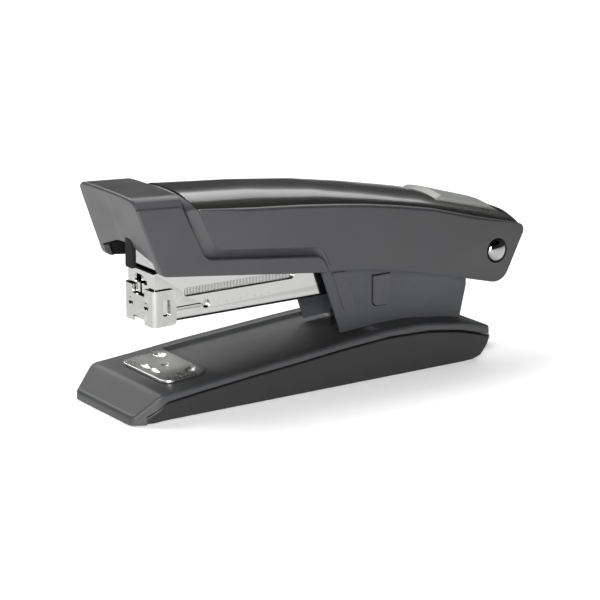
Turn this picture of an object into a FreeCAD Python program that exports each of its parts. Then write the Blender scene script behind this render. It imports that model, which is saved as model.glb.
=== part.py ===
import FreeCAD, Part
import os
import re

import Sketcher

# Desktop stapler, millimetres. X runs from the nose (-X) to the tail (+X), Z is up, and the
# origin is under the middle of the overall length, on the surface the stapler stands on.
# Stations are distances behind the nose tip. Reaches are distances in front of the hinge pin.
# Heights in the base are above the ground. Heights from the pillar upwards are above the hinge
# pin, or below it when negative, and expressions write them pin.NAME instead of dims.NAME.

DRIVING = [
    ("overall_length", 141.5, "nose tip to the tail of the handle"),
    ("pin_station", 129.5, "nose tip to the hinge pin"),
    ("pin_height", 33.0, "hinge pin above the ground"),
    ("pin_radius", 2.0, "hinge pin shaft"),
    ("pin_head_radius", 3.4, "domed rivet head of the hinge pin"),
    ("pin_head_height", 1.6, "thickness of a rivet head"),
    ("running_gap", 0.05, "radial clearance of anything that turns on a pin"),
    ("small_gap", 0.3, "clearance between neighbouring pieces"),
    ("rest_gap", 0.05, "between pieces that rest on each other"),
    # base
    ("base_width", 40.4, "widest part of the base"),
    ("base_nose_width", 32.0, "base at the nose tip"),
    ("base_front_width", 39.6, "base where the front slope meets the deck"),
    ("base_waist_station", 37.0, "widest place of the base"),
    ("base_tail_width", 37.0, "base at its tail"),
    ("base_tail_gap", 3.5, "tail of the base, in front of the hinge pin"),
    ("nose_lip", 2.0, "upright lip at the nose"),
    ("nose_run", 8.0, "length of the front slope"),
    ("snout_run", 4.0, "solid part of the nose"),
    ("base_front_height", 8.7, "deck height behind the front slope"),
    ("crown_reach", 41.5, "where the sloping deck levels out, in front of the pin"),
    ("crown_length", 13.0, "level part of the deck, under the hinge"),
    ("base_crown_height", 15.1, "highest deck height"),
    ("base_tail_height", 10.5, "deck height at the tail"),
    ("cover_wall", 2.0, "upper cover of the base"),
    ("parting_gap", 0.6, "shadow gap between the base's two casings"),
    ("base_wall", 2.2, "walls of the lower casing"),
    ("base_deck", 1.6, "top of the lower casing"),
    ("base_draft", 1.0, "lower casing set in from the cover"),
    ("tray_station", 34.0, "start of the shallow tray in the deck"),
    ("tray_rim", 3.8, "rim beside the tray"),
    ("tray_depth", 0.8, "depth of the tray"),
    ("steel_thickness", 1.2, "steel plate in the base"),
    ("steel_width", 30.0, "steel plate in the base"),
    ("pad_thickness", 1.2, "rubber pad under the base"),
    ("well_run", 13.0, "opening in the deck, in front of the crown"),
    ("well_play", 0.8, "gap between the hinge bracket and the opening in the deck"),
    ("well_overrun", 2.0, "opening in the deck, behind the crown"),
    ("screw_radius", 1.5, "base screws"),
    ("screw_head_radius", 2.6, "base screw heads"),
    ("screw_head_height", 1.5, "base screw heads"),
    ("screw_bite", 1.2, "base screws in the lower casing"),
    ("screw_spread", 22.0, "between the two rows of base screws"),
    ("screw_front_station", 34.0, "front pair of base screws"),
    ("screw_rear_reach", 57.5, "rear pair of base screws, in front of the pin"),
    ("remover_width", 14.0, "staple remover tongue"),
    ("remover_length", 25.0, "staple remover tongue"),
    ("remover_reach", 18.0, "front end of the tongue, in front of the pin"),
    ("remover_thickness", 1.2, "staple remover tongue"),
    ("remover_tip_width", 9.0, "blunt rear tip of the tongue"),
    ("remover_taper", 3.0, "length of the tongue's chamfered corners"),
    ("remover_play", 0.1, "gap above and below the tongue in its slot"),
    ("remover_side_play", 0.2, "gap beside the tongue in its slot"),
    ("remover_height", 1.5, "underside of the tongue above the ground"),
    # anvil
    ("anvil_station", 20.6, "centre of the anvil"),
    ("anvil_length", 14.8, "anvil along the stapler"),
    ("anvil_width", 26.0, "anvil across the stapler"),
    ("anvil_thickness", 0.7, "anvil plate"),
    ("anvil_corner", 3.0, "corner radius of the anvil"),
    ("anvil_lift", 0.25, "gap under the anvil plate"),
    ("anvil_post_radius", 2.4, "post that the anvil turns on"),
    ("anvil_post_length", 8.0, "post below the anvil plate"),
    ("anvil_hole_radius", 3.3, "upright holes that the tilted post passes"),
    ("clinch_width", 1.6, "clinch groove along the stapler"),
    ("clinch_depth", 0.35, "clinch groove"),
    ("clinch_offset", 3.6, "clinch groove in front of the anvil's centre"),
    ("clinch_inner", 0.4, "inner end of a clinch groove, from the middle"),
    ("clinch_past", 0.8, "outer end of a clinch groove, past the staple's leg"),
    ("clip_foot", 0.1, "clip above the lower end of the post"),
    ("clip_radius", 4.0, "retaining clip of the anvil post"),
    ("clip_thickness", 0.8, "retaining clip of the anvil post"),
    # pillar
    ("pillar_reach", 53.6, "front foot of the pillar, in front of the pin"),
    ("pillar_lean", 7.1, "how far the pillar's front edge leans forward"),
    ("pillar_top", 1.0, "top of the pillar"),
    ("pillar_tail_reach", 9.6, "rear foot of the pillar, in front of the pin"),
    ("pillar_tail_lean", 2.4, "how far the pillar's rear edge leans back"),
    ("pillar_back_gap", 1.4, "top of the pillar's rear wall below the bracket's rear edge"),
    ("pillar_wall", 1.0, "wall of the pillar"),
    ("pillar_play", 0.25, "gap between the bracket and the pillar"),
    ("strip_width", 4.8, "raised strip on each side of the pillar"),
    ("strip_inset", 3.2, "pillar's front edge to the strip"),
    ("strip_height", 0.4, "raised strip on each side of the pillar"),
    ("strip_head", 1.0, "upper end of the strip below the pillar's top"),
    ("strip_point", 2.0, "pointed lower end of the strip"),
    ("strip_foot", -13.5, "lower end of the strip"),
    ("button_reach", 42.4, "front edge of a side button, in front of the pin"),
    ("button_length", 6.4, "side button along the stapler"),
    ("button_foot", -12.4, "underside of a side button"),
    ("button_height", 9.3, "side button"),
    ("button_stand", 0.5, "side button, proud of the pillar"),
    ("button_corner", 1.8, "rounded lower corners of a side button"),
    # hinge bracket and return lever
    ("bracket_play", 0.2, "gap between the lever and the bracket"),
    ("bracket_wall", 0.8, "bracket sheet"),
    ("bracket_eye", 5.5, "radius of the bracket round the pin"),
    ("bracket_arm_top", -6.0, "front corner of a bracket ear"),
    ("bracket_setback", 1.0, "front of the bracket's foot, behind the start of the crown"),
    ("bracket_heel", 2.0, "bracket's rear corner, behind and above the crown"),
    ("bracket_button_gap", 1.5, "side button to the front edge of a bracket ear"),
    ("bracket_step", 2.0, "lower corner of a bracket ear below the side button"),
    ("bracket_foot_drop", 3.6, "front edge of the bracket's foot below the side button"),
    ("rivet_radius", 1.5, "bracket rivets"),
    ("rivet_head_radius", 2.6, "bracket rivet heads"),
    ("rivet_head_height", 1.0, "bracket rivet heads"),
    ("rivet_spread", 8.0, "between the bracket rivets"),
    ("lever_play", 0.15, "gap between the channel and the lever"),
    ("lever_wall", 0.6, "return lever sheet"),
    ("lever_eye", 4.5, "radius of the lever round the pin"),
    ("lever_reach", 50.5, "front edge of the lever, in front of the pin"),
    ("lever_web", 8.0, "cross web of the lever"),
    ("lever_arm", 3.0, "front edge of the lever's arms above the web"),
    ("lever_spring_radius", 3.4, "return spring"),
    ("wire", 0.7, "spring wire"),
    # magazine
    ("staple_play", 0.15, "gap between the staples and the channel"),
    ("channel_wall", 0.8, "magazine channel sheet"),
    ("channel_bottom", -7.6, "underside of the magazine channel"),
    ("channel_top", 7.5, "top of the magazine channel"),
    ("channel_station", 13.4, "front of the magazine channel"),
    ("channel_front_wall", 0.6, "front flanges of the channel"),
    ("channel_shoulder_reach", 35.5, "where the channel's top steps down, in front of the pin"),
    ("channel_step_reach", 21.5, "end of the step, in front of the pin"),
    ("channel_step_height", 4.5, "channel height at the end of the step"),
    ("channel_eye", 6.0, "radius of the channel round the pin"),
    ("channel_neck", 4.0, "top of the channel over the pin"),
    ("window_station", 23.1, "front of the side window"),
    ("window_length", 38.0, "side window"),
    ("window_foot", -0.7, "underside of the side window"),
    ("window_height", 2.7, "side window"),
    ("lance_station", 30.6, "round hole beside the window"),
    ("lance_height", -3.7, "round hole"),
    ("lance_radius", 1.3, "round hole"),
    ("slit_half", 0.5, "slit between the channel's front flanges"),
    ("port_half", 3.4, "opening above the cap, across"),
    ("port_foot", 3.2, "opening above the cap, underside"),
    ("port_height", 2.6, "opening above the cap"),
    ("driver_slot", 2.4, "exit slot for the staple behind the front flanges"),
    ("cap_station", 12.4, "front face of the cap"),
    ("cap_play", 0.1, "gap between the channel and the cap"),
    ("cap_wall", 0.8, "cap sheet"),
    ("cap_length", 7.7, "cap along the stapler"),
    ("cap_bottom", -8.2, "underside of the cap"),
    ("cap_top", 2.4, "top of the cap"),
    ("cap_window_inset", 3.3, "cap's side window behind its front face"),
    ("cap_window_length", 2.4, "cap's side window"),
    ("cap_window_foot", -5.2, "cap's side window"),
    ("cap_window_height", 4.7, "cap's side window"),
    ("cap_notch_half", 3.4, "notches in the cap's front edge"),
    ("cap_top_notch", 2.4, "depth of the upper notch"),
    ("cap_bottom_notch", 1.8, "depth of the lower notch"),
    ("cap_rivet_radius", 1.2, "cap rivets"),
    ("cap_rivet_spread", 8.6, "between the cap rivets"),
    ("cap_rivet_height", -2.7, "cap rivets"),
    ("cap_rivet_stand", 0.35, "cap rivets, proud of the cap"),
    ("rail_play", 0.1, "gap between the rail and the staples"),
    ("rail_wall", 0.8, "staple rail sheet"),
    ("rail_tail_reach", 12.0, "rear end of the rail, in front of the pin"),
    ("staple_half", 6.4, "outside of the staples"),
    ("staple_wire", 0.5, "staple wire"),
    ("staple_crown", 2.0, "top of the staples"),
    ("staple_leg", 6.5, "staple legs"),
    ("strip_length", 50.0, "strip of staples"),
    ("staple_station", 16.0, "front of the strip of staples"),
    ("pusher_length", 12.0, "pusher along the stapler"),
    ("pusher_tab", 3.0, "upright tab of the pusher"),
    ("pusher_tab_half", 3.4, "upright tab of the pusher"),
    ("pusher_tab_drop", 0.8, "pusher's tab below the channel's top"),
    ("pusher_play", 0.15, "gap between the pusher and the strip"),
    ("rod_radius", 1.0, "guide rod"),
    ("rod_height", 4.0, "guide rod"),
    ("rod_overhang", 8.0, "guide rod in front of the pusher's tab"),
    ("rod_stop_reach", 18.0, "rod stop, in front of the pin"),
    ("rod_stop_length", 2.5, "rod stop along the stapler"),
    ("rod_stop_top", 5.6, "rod stop"),
    ("spring_radius", 2.0, "pusher spring"),
    # handle
    ("hood_half", 16.5, "outside of the nose hood"),
    ("hood_wall", 1.8, "walls of the nose hood"),
    ("hood_station", 2.5, "front of the hood at its top"),
    ("hood_lean_station", 10.0, "front of the hood at its lower edge"),
    ("hood_top", 32.3, "top of the hood"),
    ("hood_front_foot", 10.0, "lower edge of the hood's front"),
    ("hood_fall", 0.5, "fall of the hood's top from front to rear"),
    ("hood_back_station", 18.0, "rear edge of the hood's top"),
    ("hood_step", 1.5, "hood's upright rear edge above the handle cover's side edge"),
    ("hood_waist_station", 25.3, "where the hood narrows to its skirt"),
    ("hood_waist_height", 12.6, "where the hood narrows to its skirt"),
    ("skirt_front_station", 12.3, "front end of the skirt's lower edge"),
    ("skirt_front_height", 8.7, "front end of the skirt's lower edge"),
    ("skirt_reach", 62.2, "rear end of the skirt, in front of the pin"),
    ("skirt_foot", 2.2, "rear end of the skirt's lower edge"),
    ("skirt_depth", 4.3, "rear end of the skirt"),
    ("skirt_lean", 1.5, "how far the skirt's rear end leans back"),
    ("hood_arch_half", 6.0, "arch in the hood's front edge"),
    ("hood_arch_top", 15.5, "arch in the hood's front edge"),
    ("cover_half", 16.4, "outside of the handle cover"),
    ("handle_wall", 1.7, "walls of the handle cover"),
    ("cover_front_height", 26.2, "handle cover's side edge behind the hood"),
    ("cover_mid_reach", 48.2, "where the handle cover's top starts to fall, in front of the pin"),
    ("cover_mid_height", 20.6, "handle cover's side edge there"),
    ("cover_tail_height", 7.0, "handle cover's side edge at the tail"),
    ("cover_elbow_reach", 31.1, "bend in the cover's lower edge, in front of the pin"),
    ("cover_elbow_height", -2.4, "bend in the cover's lower edge"),
    ("cover_heel_reach", 2.6, "lowest point of the cover, in front of the pin"),
    ("cover_heel_height", -9.4, "lowest point of the cover"),
    ("cover_heel_back", 3.8, "rear of the cover's heel, behind the pin"),
    ("cover_heel_rise", 2.0, "rear of the cover's heel above its lowest point"),
    ("head_hole_radius", 3.8, "holes round the rivet heads"),
    ("head_stand", 0.4, "underside of a rivet head outside the cover's inner face"),
    ("tail_slot_half", 13.0, "slot in the cover's rear wall"),
    ("insert_half", 13.0, "top insert"),
    ("insert_front_height", 30.6, "crest of the top insert at the front"),
    ("insert_mid_station", 68.0, "crest point of the top insert"),
    ("insert_mid_height", 26.4, "crest of the top insert there"),
    ("insert_tail_reach", 22.5, "rear end of the top insert, in front of the pin"),
    ("insert_tail_height", 19.0, "crest of the top insert at the rear"),
    ("release_reach", 18.9, "front of the release button, in front of the pin"),
    ("release_length", 27.4, "release button along the stapler"),
    ("release_half", 9.6, "release button"),
    ("release_stand", 3.2, "release button, proud of the cover"),
    ("release_rear_stand", 1.9, "rear edge of the release button, proud of the cover"),
    ("release_bevel", 2.2, "bevel at the front of the release button"),
    ("release_depth", 1.9, "release button below the cover's top"),
    ("release_spring_radius", 2.4, "release spring"),
    ("release_spring_setback", 7.7, "release spring behind the front of its button"),
    ("frame_play", 0.75, "gap between the pillar and the handle frame"),
    ("frame_wall", 1.0, "handle frame sheet"),
    ("frame_station", 17.0, "front of the handle frame"),
    ("frame_front_height", 23.6, "top of the frame at the front"),
    ("frame_knee_reach", 37.5, "knee of the frame, in front of the pin"),
    ("frame_knee_height", 13.5, "top of the frame at its knee"),
    ("frame_tail_reach", 4.6, "rear end of the frame's top, in front of the pin"),
    ("frame_tail_height", 5.8, "rear end of the frame's top"),
    ("frame_side", 5.5, "depth of the frame's sides"),
    ("frame_eye", 5.2, "radius of the frame round the pin"),
    ("bush_radius", 4.2, "bushes on the hinge pin"),
    ("bush_play", 0.1, "gap between the frame and a bush"),
    ("blade_thickness", 0.6, "driver blade"),
    ("blade_play", 0.2, "driver blade narrower than a staple, each side"),
    ("blade_station", 14.75, "front of the driver blade at its tip"),
    ("blade_tip", 3.0, "tip of the driver blade"),
    ("blade_lean", 0.047, "lean of the driver blade"),
    ("blade_inset", 1.0, "top of the blade below the top of its block"),
    ("block_station", 9.6, "front of the driver block"),
    ("block_lip", 2.5, "lower lip of the driver block"),
    ("block_half", 5.6, "driver block"),
    ("block_foot", 9.5, "underside of the driver block"),
    ("block_step", 20.2, "where the driver block thickens"),
    ("block_chamfer", 2.0, "slanted underside of the driver block's step"),
    ("block_top", 27.0, "top of the driver block"),
    ("block_slot_half", 2.1, "slot that shows the blade"),
    ("leaf_half", 4.0, "handle spring"),
    ("leaf_thickness", 0.5, "handle spring"),
    ("leaf_front_reach", 78.0, "front tip of the handle spring"),
    ("leaf_front_height", 8.0, "front tip of the handle spring"),
    ("leaf_rear_reach", 42.0, "rear end of the handle spring"),
]

document = FreeCAD.newDocument("stapler")
sheet = document.addObject("Spreadsheet::Sheet", "dims")
for row, (name, value, meaning) in enumerate(DRIVING, start=1):
    sheet.set(f"A{row}", name)
    sheet.set(f"B{row}", str(value))
    sheet.set(f"C{row}", meaning)
    sheet.setAlias(f"B{row}", name)
document.recompute()

parts = []
FAR = 200  # longer than anything it cuts; cutters also reach 1 past a surface


def full(text):
    """An expression with each height from the hinge pin written out above the ground."""
    return re.sub(r"\bpin\.(\w+)", r"(dims.pin_height + dims.\1)", text)


def size(text):
    """The present value of an expression over the sheet."""
    return float(sheet.evalExpression(full(text)))


def hold(thing, name, text):
    """Binds a property to an expression over the sheet."""
    thing.setExpression(name, full(text))


def at(station):
    """X of a distance behind the nose tip."""
    return f"({station}) - dims.overall_length / 2"


def before_pin(reach):
    """X of a distance in front of the hinge pin."""
    return f"dims.pin_station - dims.overall_length / 2 - ({reach})"


PIN_X = before_pin("0")
PIN_Z = "dims.pin_height"
CROWN_START = "(dims.pin_station - dims.crown_reach)"
CROWN_END = f"({CROWN_START} + dims.crown_length)"
SCREW_REAR = "(dims.pin_station - dims.screw_rear_reach)"
COVER_MID = "(dims.pin_station - dims.cover_mid_reach)"
INSERT_TAIL = "(dims.pin_station - dims.insert_tail_reach)"
RELEASE_FRONT = "(dims.pin_station - dims.release_reach)"

# Half widths, from the staples outwards: each piece wraps the one before with its own gap.
RAIL_HALF = "(dims.staple_half - dims.staple_wire - dims.small_gap)"
BLADE_HALF = "(dims.staple_half - dims.blade_play)"
CHANNEL_HALF = "(dims.staple_half + dims.staple_play + dims.channel_wall)"
CAP_HALF = f"({CHANNEL_HALF} + dims.cap_play + dims.cap_wall)"
LEVER_HALF = f"({CHANNEL_HALF} + dims.lever_play + dims.lever_wall)"
BRACKET_HALF = f"({LEVER_HALF} + dims.bracket_play + dims.bracket_wall)"
WELL_HALF = f"({BRACKET_HALF} + dims.well_play)"
PILLAR_HALF = f"({BRACKET_HALF} + dims.pillar_play + dims.pillar_wall)"
BUTTON_DEPTH = f"({PILLAR_HALF} + dims.button_stand - {BRACKET_HALF} - dims.small_gap)"
FRAME_HALF = f"({PILLAR_HALF} + dims.frame_play + dims.frame_wall)"
BASE_TAIL = "dims.pin_station - dims.base_tail_gap"
SLOPE = (
    "(dims.base_crown_height - dims.base_front_height)"
    f" / ({CROWN_START} - dims.nose_run)"
)


def deck(station):
    """Height of the sloping deck at a station in front of the crown."""
    return f"dims.base_front_height + (({station}) - dims.nose_run) * {SLOPE}"


def tail_deck(station):
    """Height of the falling deck at a station behind the crown."""
    fall = "(dims.base_crown_height - dims.base_tail_height)"
    return (
        f"dims.base_crown_height - (({station}) - ({CROWN_END})) * {fall}"
        f" / ({BASE_TAIL} - ({CROWN_END}))"
    )


def between(station, first, second):
    """Height at a station on the straight line through two (station, height) points."""
    (s1, h1), (s2, h2) = first, second
    return f"({h1}) + (({station}) - ({s1})) * (({h2}) - ({h1})) / (({s2}) - ({s1}))"


# ---------------------------------------------------------------- feature helpers


def body(label):
    piece = document.addObject("PartDesign::Body", label)
    piece.Label = label
    parts.append(piece)
    return piece


def sketch(piece, role, offset="0"):
    drawing = piece.newObject("Sketcher::SketchObject", f"{piece.Label}_sketch")
    planes = piece.Origin.OriginFeatures
    plane = next(feature for feature in planes if feature.Role == f"{role}_Plane")
    drawing.AttachmentSupport = (plane, "")
    drawing.MapMode = "FlatFace"
    hold(drawing, "AttachmentOffset.Base.z", offset)
    return drawing


def bind(drawing, kind, *where, text):
    index = drawing.addConstraint(Sketcher.Constraint(kind, *where, size(text)))
    hold(drawing, f"Constraints[{index}]", text)


def outline(drawing, corners):
    """A closed outline whose corners are each held by two bound distances."""
    first = drawing.GeometryCount
    count = len(corners)
    points = [FreeCAD.Vector(size(u), size(v), 0) for u, v in corners]
    for i in range(count):
        drawing.addGeometry(Part.LineSegment(points[i], points[(i + 1) % count]))
    for i in range(count):
        joined = Sketcher.Constraint("Coincident", first + i, 2, first + (i + 1) % count, 1)
        drawing.addConstraint(joined)
    for i, (u, v) in enumerate(corners):
        bind(drawing, "DistanceX", -1, 1, first + i, 1, text=u)
        bind(drawing, "DistanceY", -1, 1, first + i, 1, text=v)


def ring(drawing, u, v, radius):
    """A full circle held by its centre and its radius."""
    centre = FreeCAD.Vector(size(u), size(v), 0)
    circle = Part.Circle(centre, FreeCAD.Vector(0, 0, 1), size(radius))
    index = drawing.addGeometry(circle)
    bind(drawing, "DistanceX", -1, 1, index, 3, text=u)
    bind(drawing, "DistanceY", -1, 1, index, 3, text=v)
    bind(drawing, "Radius", index, text=radius)


def pad(piece, drawing, length, both_ways=True):
    feature = piece.newObject("PartDesign::Pad", f"{piece.Label}_pad")
    feature.Profile = drawing
    feature.Midplane = both_ways
    hold(feature, "Length", length)
    return feature


def pocket(piece, drawing, length, both_ways=True, backwards=False):
    feature = piece.newObject("PartDesign::Pocket", f"{piece.Label}_pocket")
    feature.Profile = drawing
    feature.Midplane = both_ways
    feature.Reversed = backwards
    hold(feature, "Length", length)
    return feature


def prism(piece, corners, half):
    """Side-view outline, extruded to the same distance on both sides of the middle."""
    drawing = sketch(piece, "XZ")
    outline(drawing, corners)
    return pad(piece, drawing, f"2 * ({half})")


def carve(piece, corners, half):
    """Side-view outline, cut away to the same distance on both sides of the middle."""
    drawing = sketch(piece, "XZ")
    outline(drawing, corners)
    return pocket(piece, drawing, f"2 * ({half})")


def eye(piece, radius, half, x=PIN_X, z=PIN_Z):
    drawing = sketch(piece, "XZ")
    ring(drawing, x, z, radius)
    return pad(piece, drawing, f"2 * ({half})")


def bore(piece, radius, half, x=PIN_X, z=PIN_Z):
    drawing = sketch(piece, "XZ")
    ring(drawing, x, z, radius)
    return pocket(piece, drawing, f"2 * ({half})")


def drop(piece, corners, bottom, top):
    """Top-view outline, cut away between two heights."""
    drawing = sketch(piece, "XY", bottom)
    outline(drawing, corners)
    return pocket(piece, drawing, f"({top}) - ({bottom})", False, True)


def drill(piece, spots, radius, bottom, top):
    """Upright round holes at a list of places, between two heights."""
    drawing = sketch(piece, "XY", bottom)
    for x, y in spots:
        ring(drawing, x, y, radius)
    return pocket(piece, drawing, f"({top}) - ({bottom})", False, True)


def rectangle(x1, x2, y1, y2):
    return [(x1, y1), (x2, y1), (x2, y2), (x1, y2)]


def round_corners(piece, feature, radius, direction, keep):
    """Fillets the straight edges that run along a direction and pass the keep test."""
    document.recompute()
    names = []
    for number, edge in enumerate(feature.Shape.Edges, start=1):
        if len(edge.Vertexes) < 2:
            continue
        run = edge.Vertexes[1].Point - edge.Vertexes[0].Point
        straight = edge.Curve.TypeId == "Part::GeomLine"
        if straight and run.cross(direction).Length < 1e-6 and keep(edge.CenterOfMass):
            names.append(f"Edge{number}")
    fillet = piece.newObject("PartDesign::Fillet", f"{piece.Label}_fillet")
    fillet.Base = (feature, names)
    hold(fillet, "Radius", radius)
    return fillet


ALONG_X = FreeCAD.Rotation(FreeCAD.Vector(0, 1, 0), 90)
ALONG_Y = FreeCAD.Rotation(FreeCAD.Vector(1, 0, 0), -90)
UPRIGHT = FreeCAD.Rotation()


def rod(name, radius, length, x, y, z, turn=UPRIGHT):
    """A round bar that starts at a point and runs along one axis."""
    bar = document.addObject("Part::Cylinder", name)
    bar.Placement = FreeCAD.Placement(FreeCAD.Vector(), turn)
    hold(bar, "Radius", radius)
    hold(bar, "Height", length)
    for axis, text in (("x", x), ("y", y), ("z", z)):
        hold(bar, f"Placement.Base.{axis}", text)
    return bar


def tube(label, outer, inner, length, x, y, z, turn=UPRIGHT):
    """The space that a coil spring, bush or washer fills, with its bore."""
    cut = document.addObject("Part::Cut", label)
    cut.Base = rod(f"{label}_outside", outer, length, x, y, z, turn)
    cut.Tool = rod(f"{label}_inside", inner, length, x, y, z, turn)
    cut.Label = label
    return cut


def group(label, pieces):
    joined = document.addObject("Part::Compound", label)
    joined.Links = pieces
    joined.Label = label
    return joined


def fuse(label, pieces):
    joined = document.addObject("Part::MultiFuse", label)
    joined.Shapes = pieces
    joined.Label = label
    return joined


# ---------------------------------------------------------------- base


def deck_line(drop_by):
    """The deck's top edge from the front slope to the tail, lowered by a distance."""
    return [
        (at("dims.nose_run"), f"dims.base_front_height - ({drop_by})"),
        (at(CROWN_START), f"dims.base_crown_height - ({drop_by})"),
        (at(CROWN_END), f"dims.base_crown_height - ({drop_by})"),
        (at(BASE_TAIL), f"dims.base_tail_height - ({drop_by})"),
    ]


def trim_sides(piece, inset):
    """Cuts a base casing to the bowed outline seen from above."""
    bow = [
        ("0", "dims.base_nose_width"),
        ("dims.nose_run", "dims.base_front_width"),
        ("dims.base_waist_station", "dims.base_width"),
        (BASE_TAIL, "dims.base_tail_width"),
    ]
    for side in ("", "-"):
        edge = [(at(station), f"{side}({width} / 2 - {inset})") for station, width in bow]
        edge[0] = (at("-1"), edge[0][1])
        edge[-1] = (at(f"{BASE_TAIL} + 1"), edge[-1][1])
        outside = [(edge[-1][0], f"{side}dims.base_width"), (edge[0][0], f"{side}dims.base_width")]
        drop(piece, edge + outside, "-1", "dims.base_crown_height + 1")


WELL = rectangle(
    at(f"{CROWN_START} - dims.well_run"),
    at(f"{CROWN_END} + dims.well_overrun"),
    f"-{WELL_HALF}",
    WELL_HALF,
)
POST = [(at("dims.anvil_station"), "0")]
SCREWS = [(station, side) for station in ("dims.screw_front_station", SCREW_REAR) for side in ("", "-")]
PLATE_DROP = "dims.cover_wall + dims.base_deck"  # the steel plate's top below the deck


def base_upper_cover():
    piece = body("base_upper_cover")
    under = deck_line("dims.cover_wall")
    nose = [(at("0"), "0"), (at("0"), "dims.nose_lip")]
    snout = [(at("dims.snout_run"), "dims.nose_lip"), (at("dims.snout_run"), "0")]
    prism(piece, nose + deck_line("0") + under[::-1] + snout, "dims.base_width / 2")
    trim_sides(piece, "0")
    tray = [
        (at("dims.tray_station"), deck("dims.tray_station")),
        (at(CROWN_START), "dims.base_crown_height"),
        (at(CROWN_START), "dims.base_crown_height - dims.tray_depth"),
        (at("dims.tray_station"), f"{deck('dims.tray_station')} - dims.tray_depth"),
    ]
    carve(piece, tray, "dims.base_width / 2 - dims.tray_rim")
    drop(piece, WELL, "0", "dims.base_crown_height + 1")
    drill(piece, POST, "dims.anvil_hole_radius", "dims.nose_lip", "dims.base_crown_height")


def base_lower_body():
    piece = body("base_lower_body")
    front = "dims.snout_run + dims.small_gap"
    knee = "dims.nose_run + dims.small_gap"
    tail = f"{BASE_TAIL} - dims.base_draft"
    line = deck_line("dims.cover_wall")
    outer = [(at(front), "0"), (at(front), "dims.nose_lip"), (at(knee), f"{deck(knee)} - dims.cover_wall")]
    outer += line[1:3]
    outer += [
        (at(tail), f"{tail_deck(tail)} - dims.cover_wall"),
        (at(tail), "dims.base_tail_height / 2"),
        (at(f"{tail} - dims.base_draft"), "0"),
    ]
    prism(piece, outer, "dims.base_width / 2")
    trim_sides(piece, "dims.base_draft")
    for side in ("", "-"):
        ledge = sketch(piece, "XZ", f"{side}(dims.base_tail_width / 2 - 2 * dims.base_draft)")
        above = [(x, f"{z} + 1") for x, z in line]
        outline(ledge, above + [(x, f"{z} - dims.parting_gap") for x, z in line[::-1]])
        pocket(piece, ledge, "dims.base_width / 2 + 1", False, side == "")
    first = "dims.nose_run + dims.base_wall"
    last = f"{tail} - dims.base_draft - dims.base_wall"
    room = [(at(first), "-1"), (at(first), f"{deck(first)} - ({PLATE_DROP})")]
    room += deck_line(PLATE_DROP)[1:3]
    room += [(at(last), f"{tail_deck(last)} - ({PLATE_DROP})"), (at(last), "-1")]
    carve(piece, room, "dims.base_tail_width / 2 - dims.base_draft - dims.base_wall")
    drop(piece, WELL, "dims.base_front_height", "dims.base_crown_height + 1")
    drill(piece, POST, "dims.anvil_hole_radius", "dims.nose_lip", "dims.base_crown_height")
    drill(piece, screw_spots(), "dims.screw_radius", "dims.nose_lip", "dims.base_crown_height")
    slot_half = "dims.remover_width / 2 + dims.remover_side_play"
    slot = rectangle(before_pin("dims.remover_reach"), PIN_X, f"-({slot_half})", slot_half)
    drop(piece, slot, "dims.remover_height - dims.remover_play",
         "dims.remover_height + dims.remover_thickness + dims.remover_play")


def screw_spots():
    return [(at(station), f"{side}dims.screw_spread / 2") for station, side in SCREWS]


def base_steel_plate():
    piece = body("base_steel_plate")
    start = "dims.nose_run + dims.base_wall + dims.small_gap"

    def line(extra):
        down = f"{PLATE_DROP} + {extra}"
        front = (at(start), f"{deck(start)} - ({down})")
        return [front] + deck_line(down)[1:3]

    prism(piece, line("0") + line("dims.steel_thickness")[::-1], "dims.steel_width / 2")
    drill(piece, POST, "dims.anvil_hole_radius", "0", "dims.base_crown_height")
    drill(piece, screw_spots(), "dims.screw_radius", "0", "dims.base_crown_height")
    drill(piece, rivet_spots(), "dims.rivet_radius", "0", "dims.base_crown_height")


def base_bottom_pad():
    piece = body("base_bottom_pad")
    front = at("dims.nose_run + dims.base_wall + dims.small_gap")
    rear = before_pin("dims.base_tail_gap + 2 * dims.base_draft + dims.base_wall + dims.small_gap")
    sheet_side = [(front, "0"), (front, "dims.pad_thickness"), (rear, "dims.pad_thickness"), (rear, "0")]
    prism(piece, sheet_side, "dims.base_tail_width / 2 - dims.base_draft - dims.base_wall - dims.small_gap")


def base_screws():
    screws = []
    for number, (station, side) in enumerate(SCREWS):
        bottom = f"{deck(station)} - ({PLATE_DROP}) - dims.steel_thickness"
        y = f"{side}dims.screw_spread / 2"
        head_z = f"{bottom} - dims.small_gap - dims.screw_head_height"
        shank = "dims.small_gap + dims.steel_thickness + dims.screw_bite"
        head = rod(f"screw_head_{number}", "dims.screw_head_radius", "dims.screw_head_height",
                   at(station), y, head_z)
        stem = rod(f"screw_stem_{number}", "dims.screw_radius", shank,
                   at(station), y, f"{bottom} - dims.small_gap")
        screws.append(fuse(f"screw_{number}", [head, stem]))
    parts.append(group("base_screws", screws))


def staple_remover():
    piece = body("staple_remover")
    low = "dims.remover_height"
    high = "dims.remover_height + dims.remover_thickness"
    front = before_pin("dims.remover_reach")
    rear = before_pin("dims.remover_reach - dims.remover_length")
    prism(piece, [(front, low), (front, high), (rear, high), (rear, low)], "dims.remover_width / 2")
    shoulder = before_pin("dims.remover_reach - dims.remover_length + dims.remover_taper")
    beyond = f"{rear} + 1"
    for side in ("", "-"):
        tip = f"{side}dims.remover_tip_width / 2"
        outside = f"{side}dims.remover_width"
        corner = [(shoulder, f"{side}dims.remover_width / 2"), (rear, tip), (beyond, tip),
                  (beyond, outside), (shoulder, outside)]
        drop(piece, corner, "0", "dims.base_front_height")


# ---------------------------------------------------------------- anvil, tilted with the deck


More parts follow.
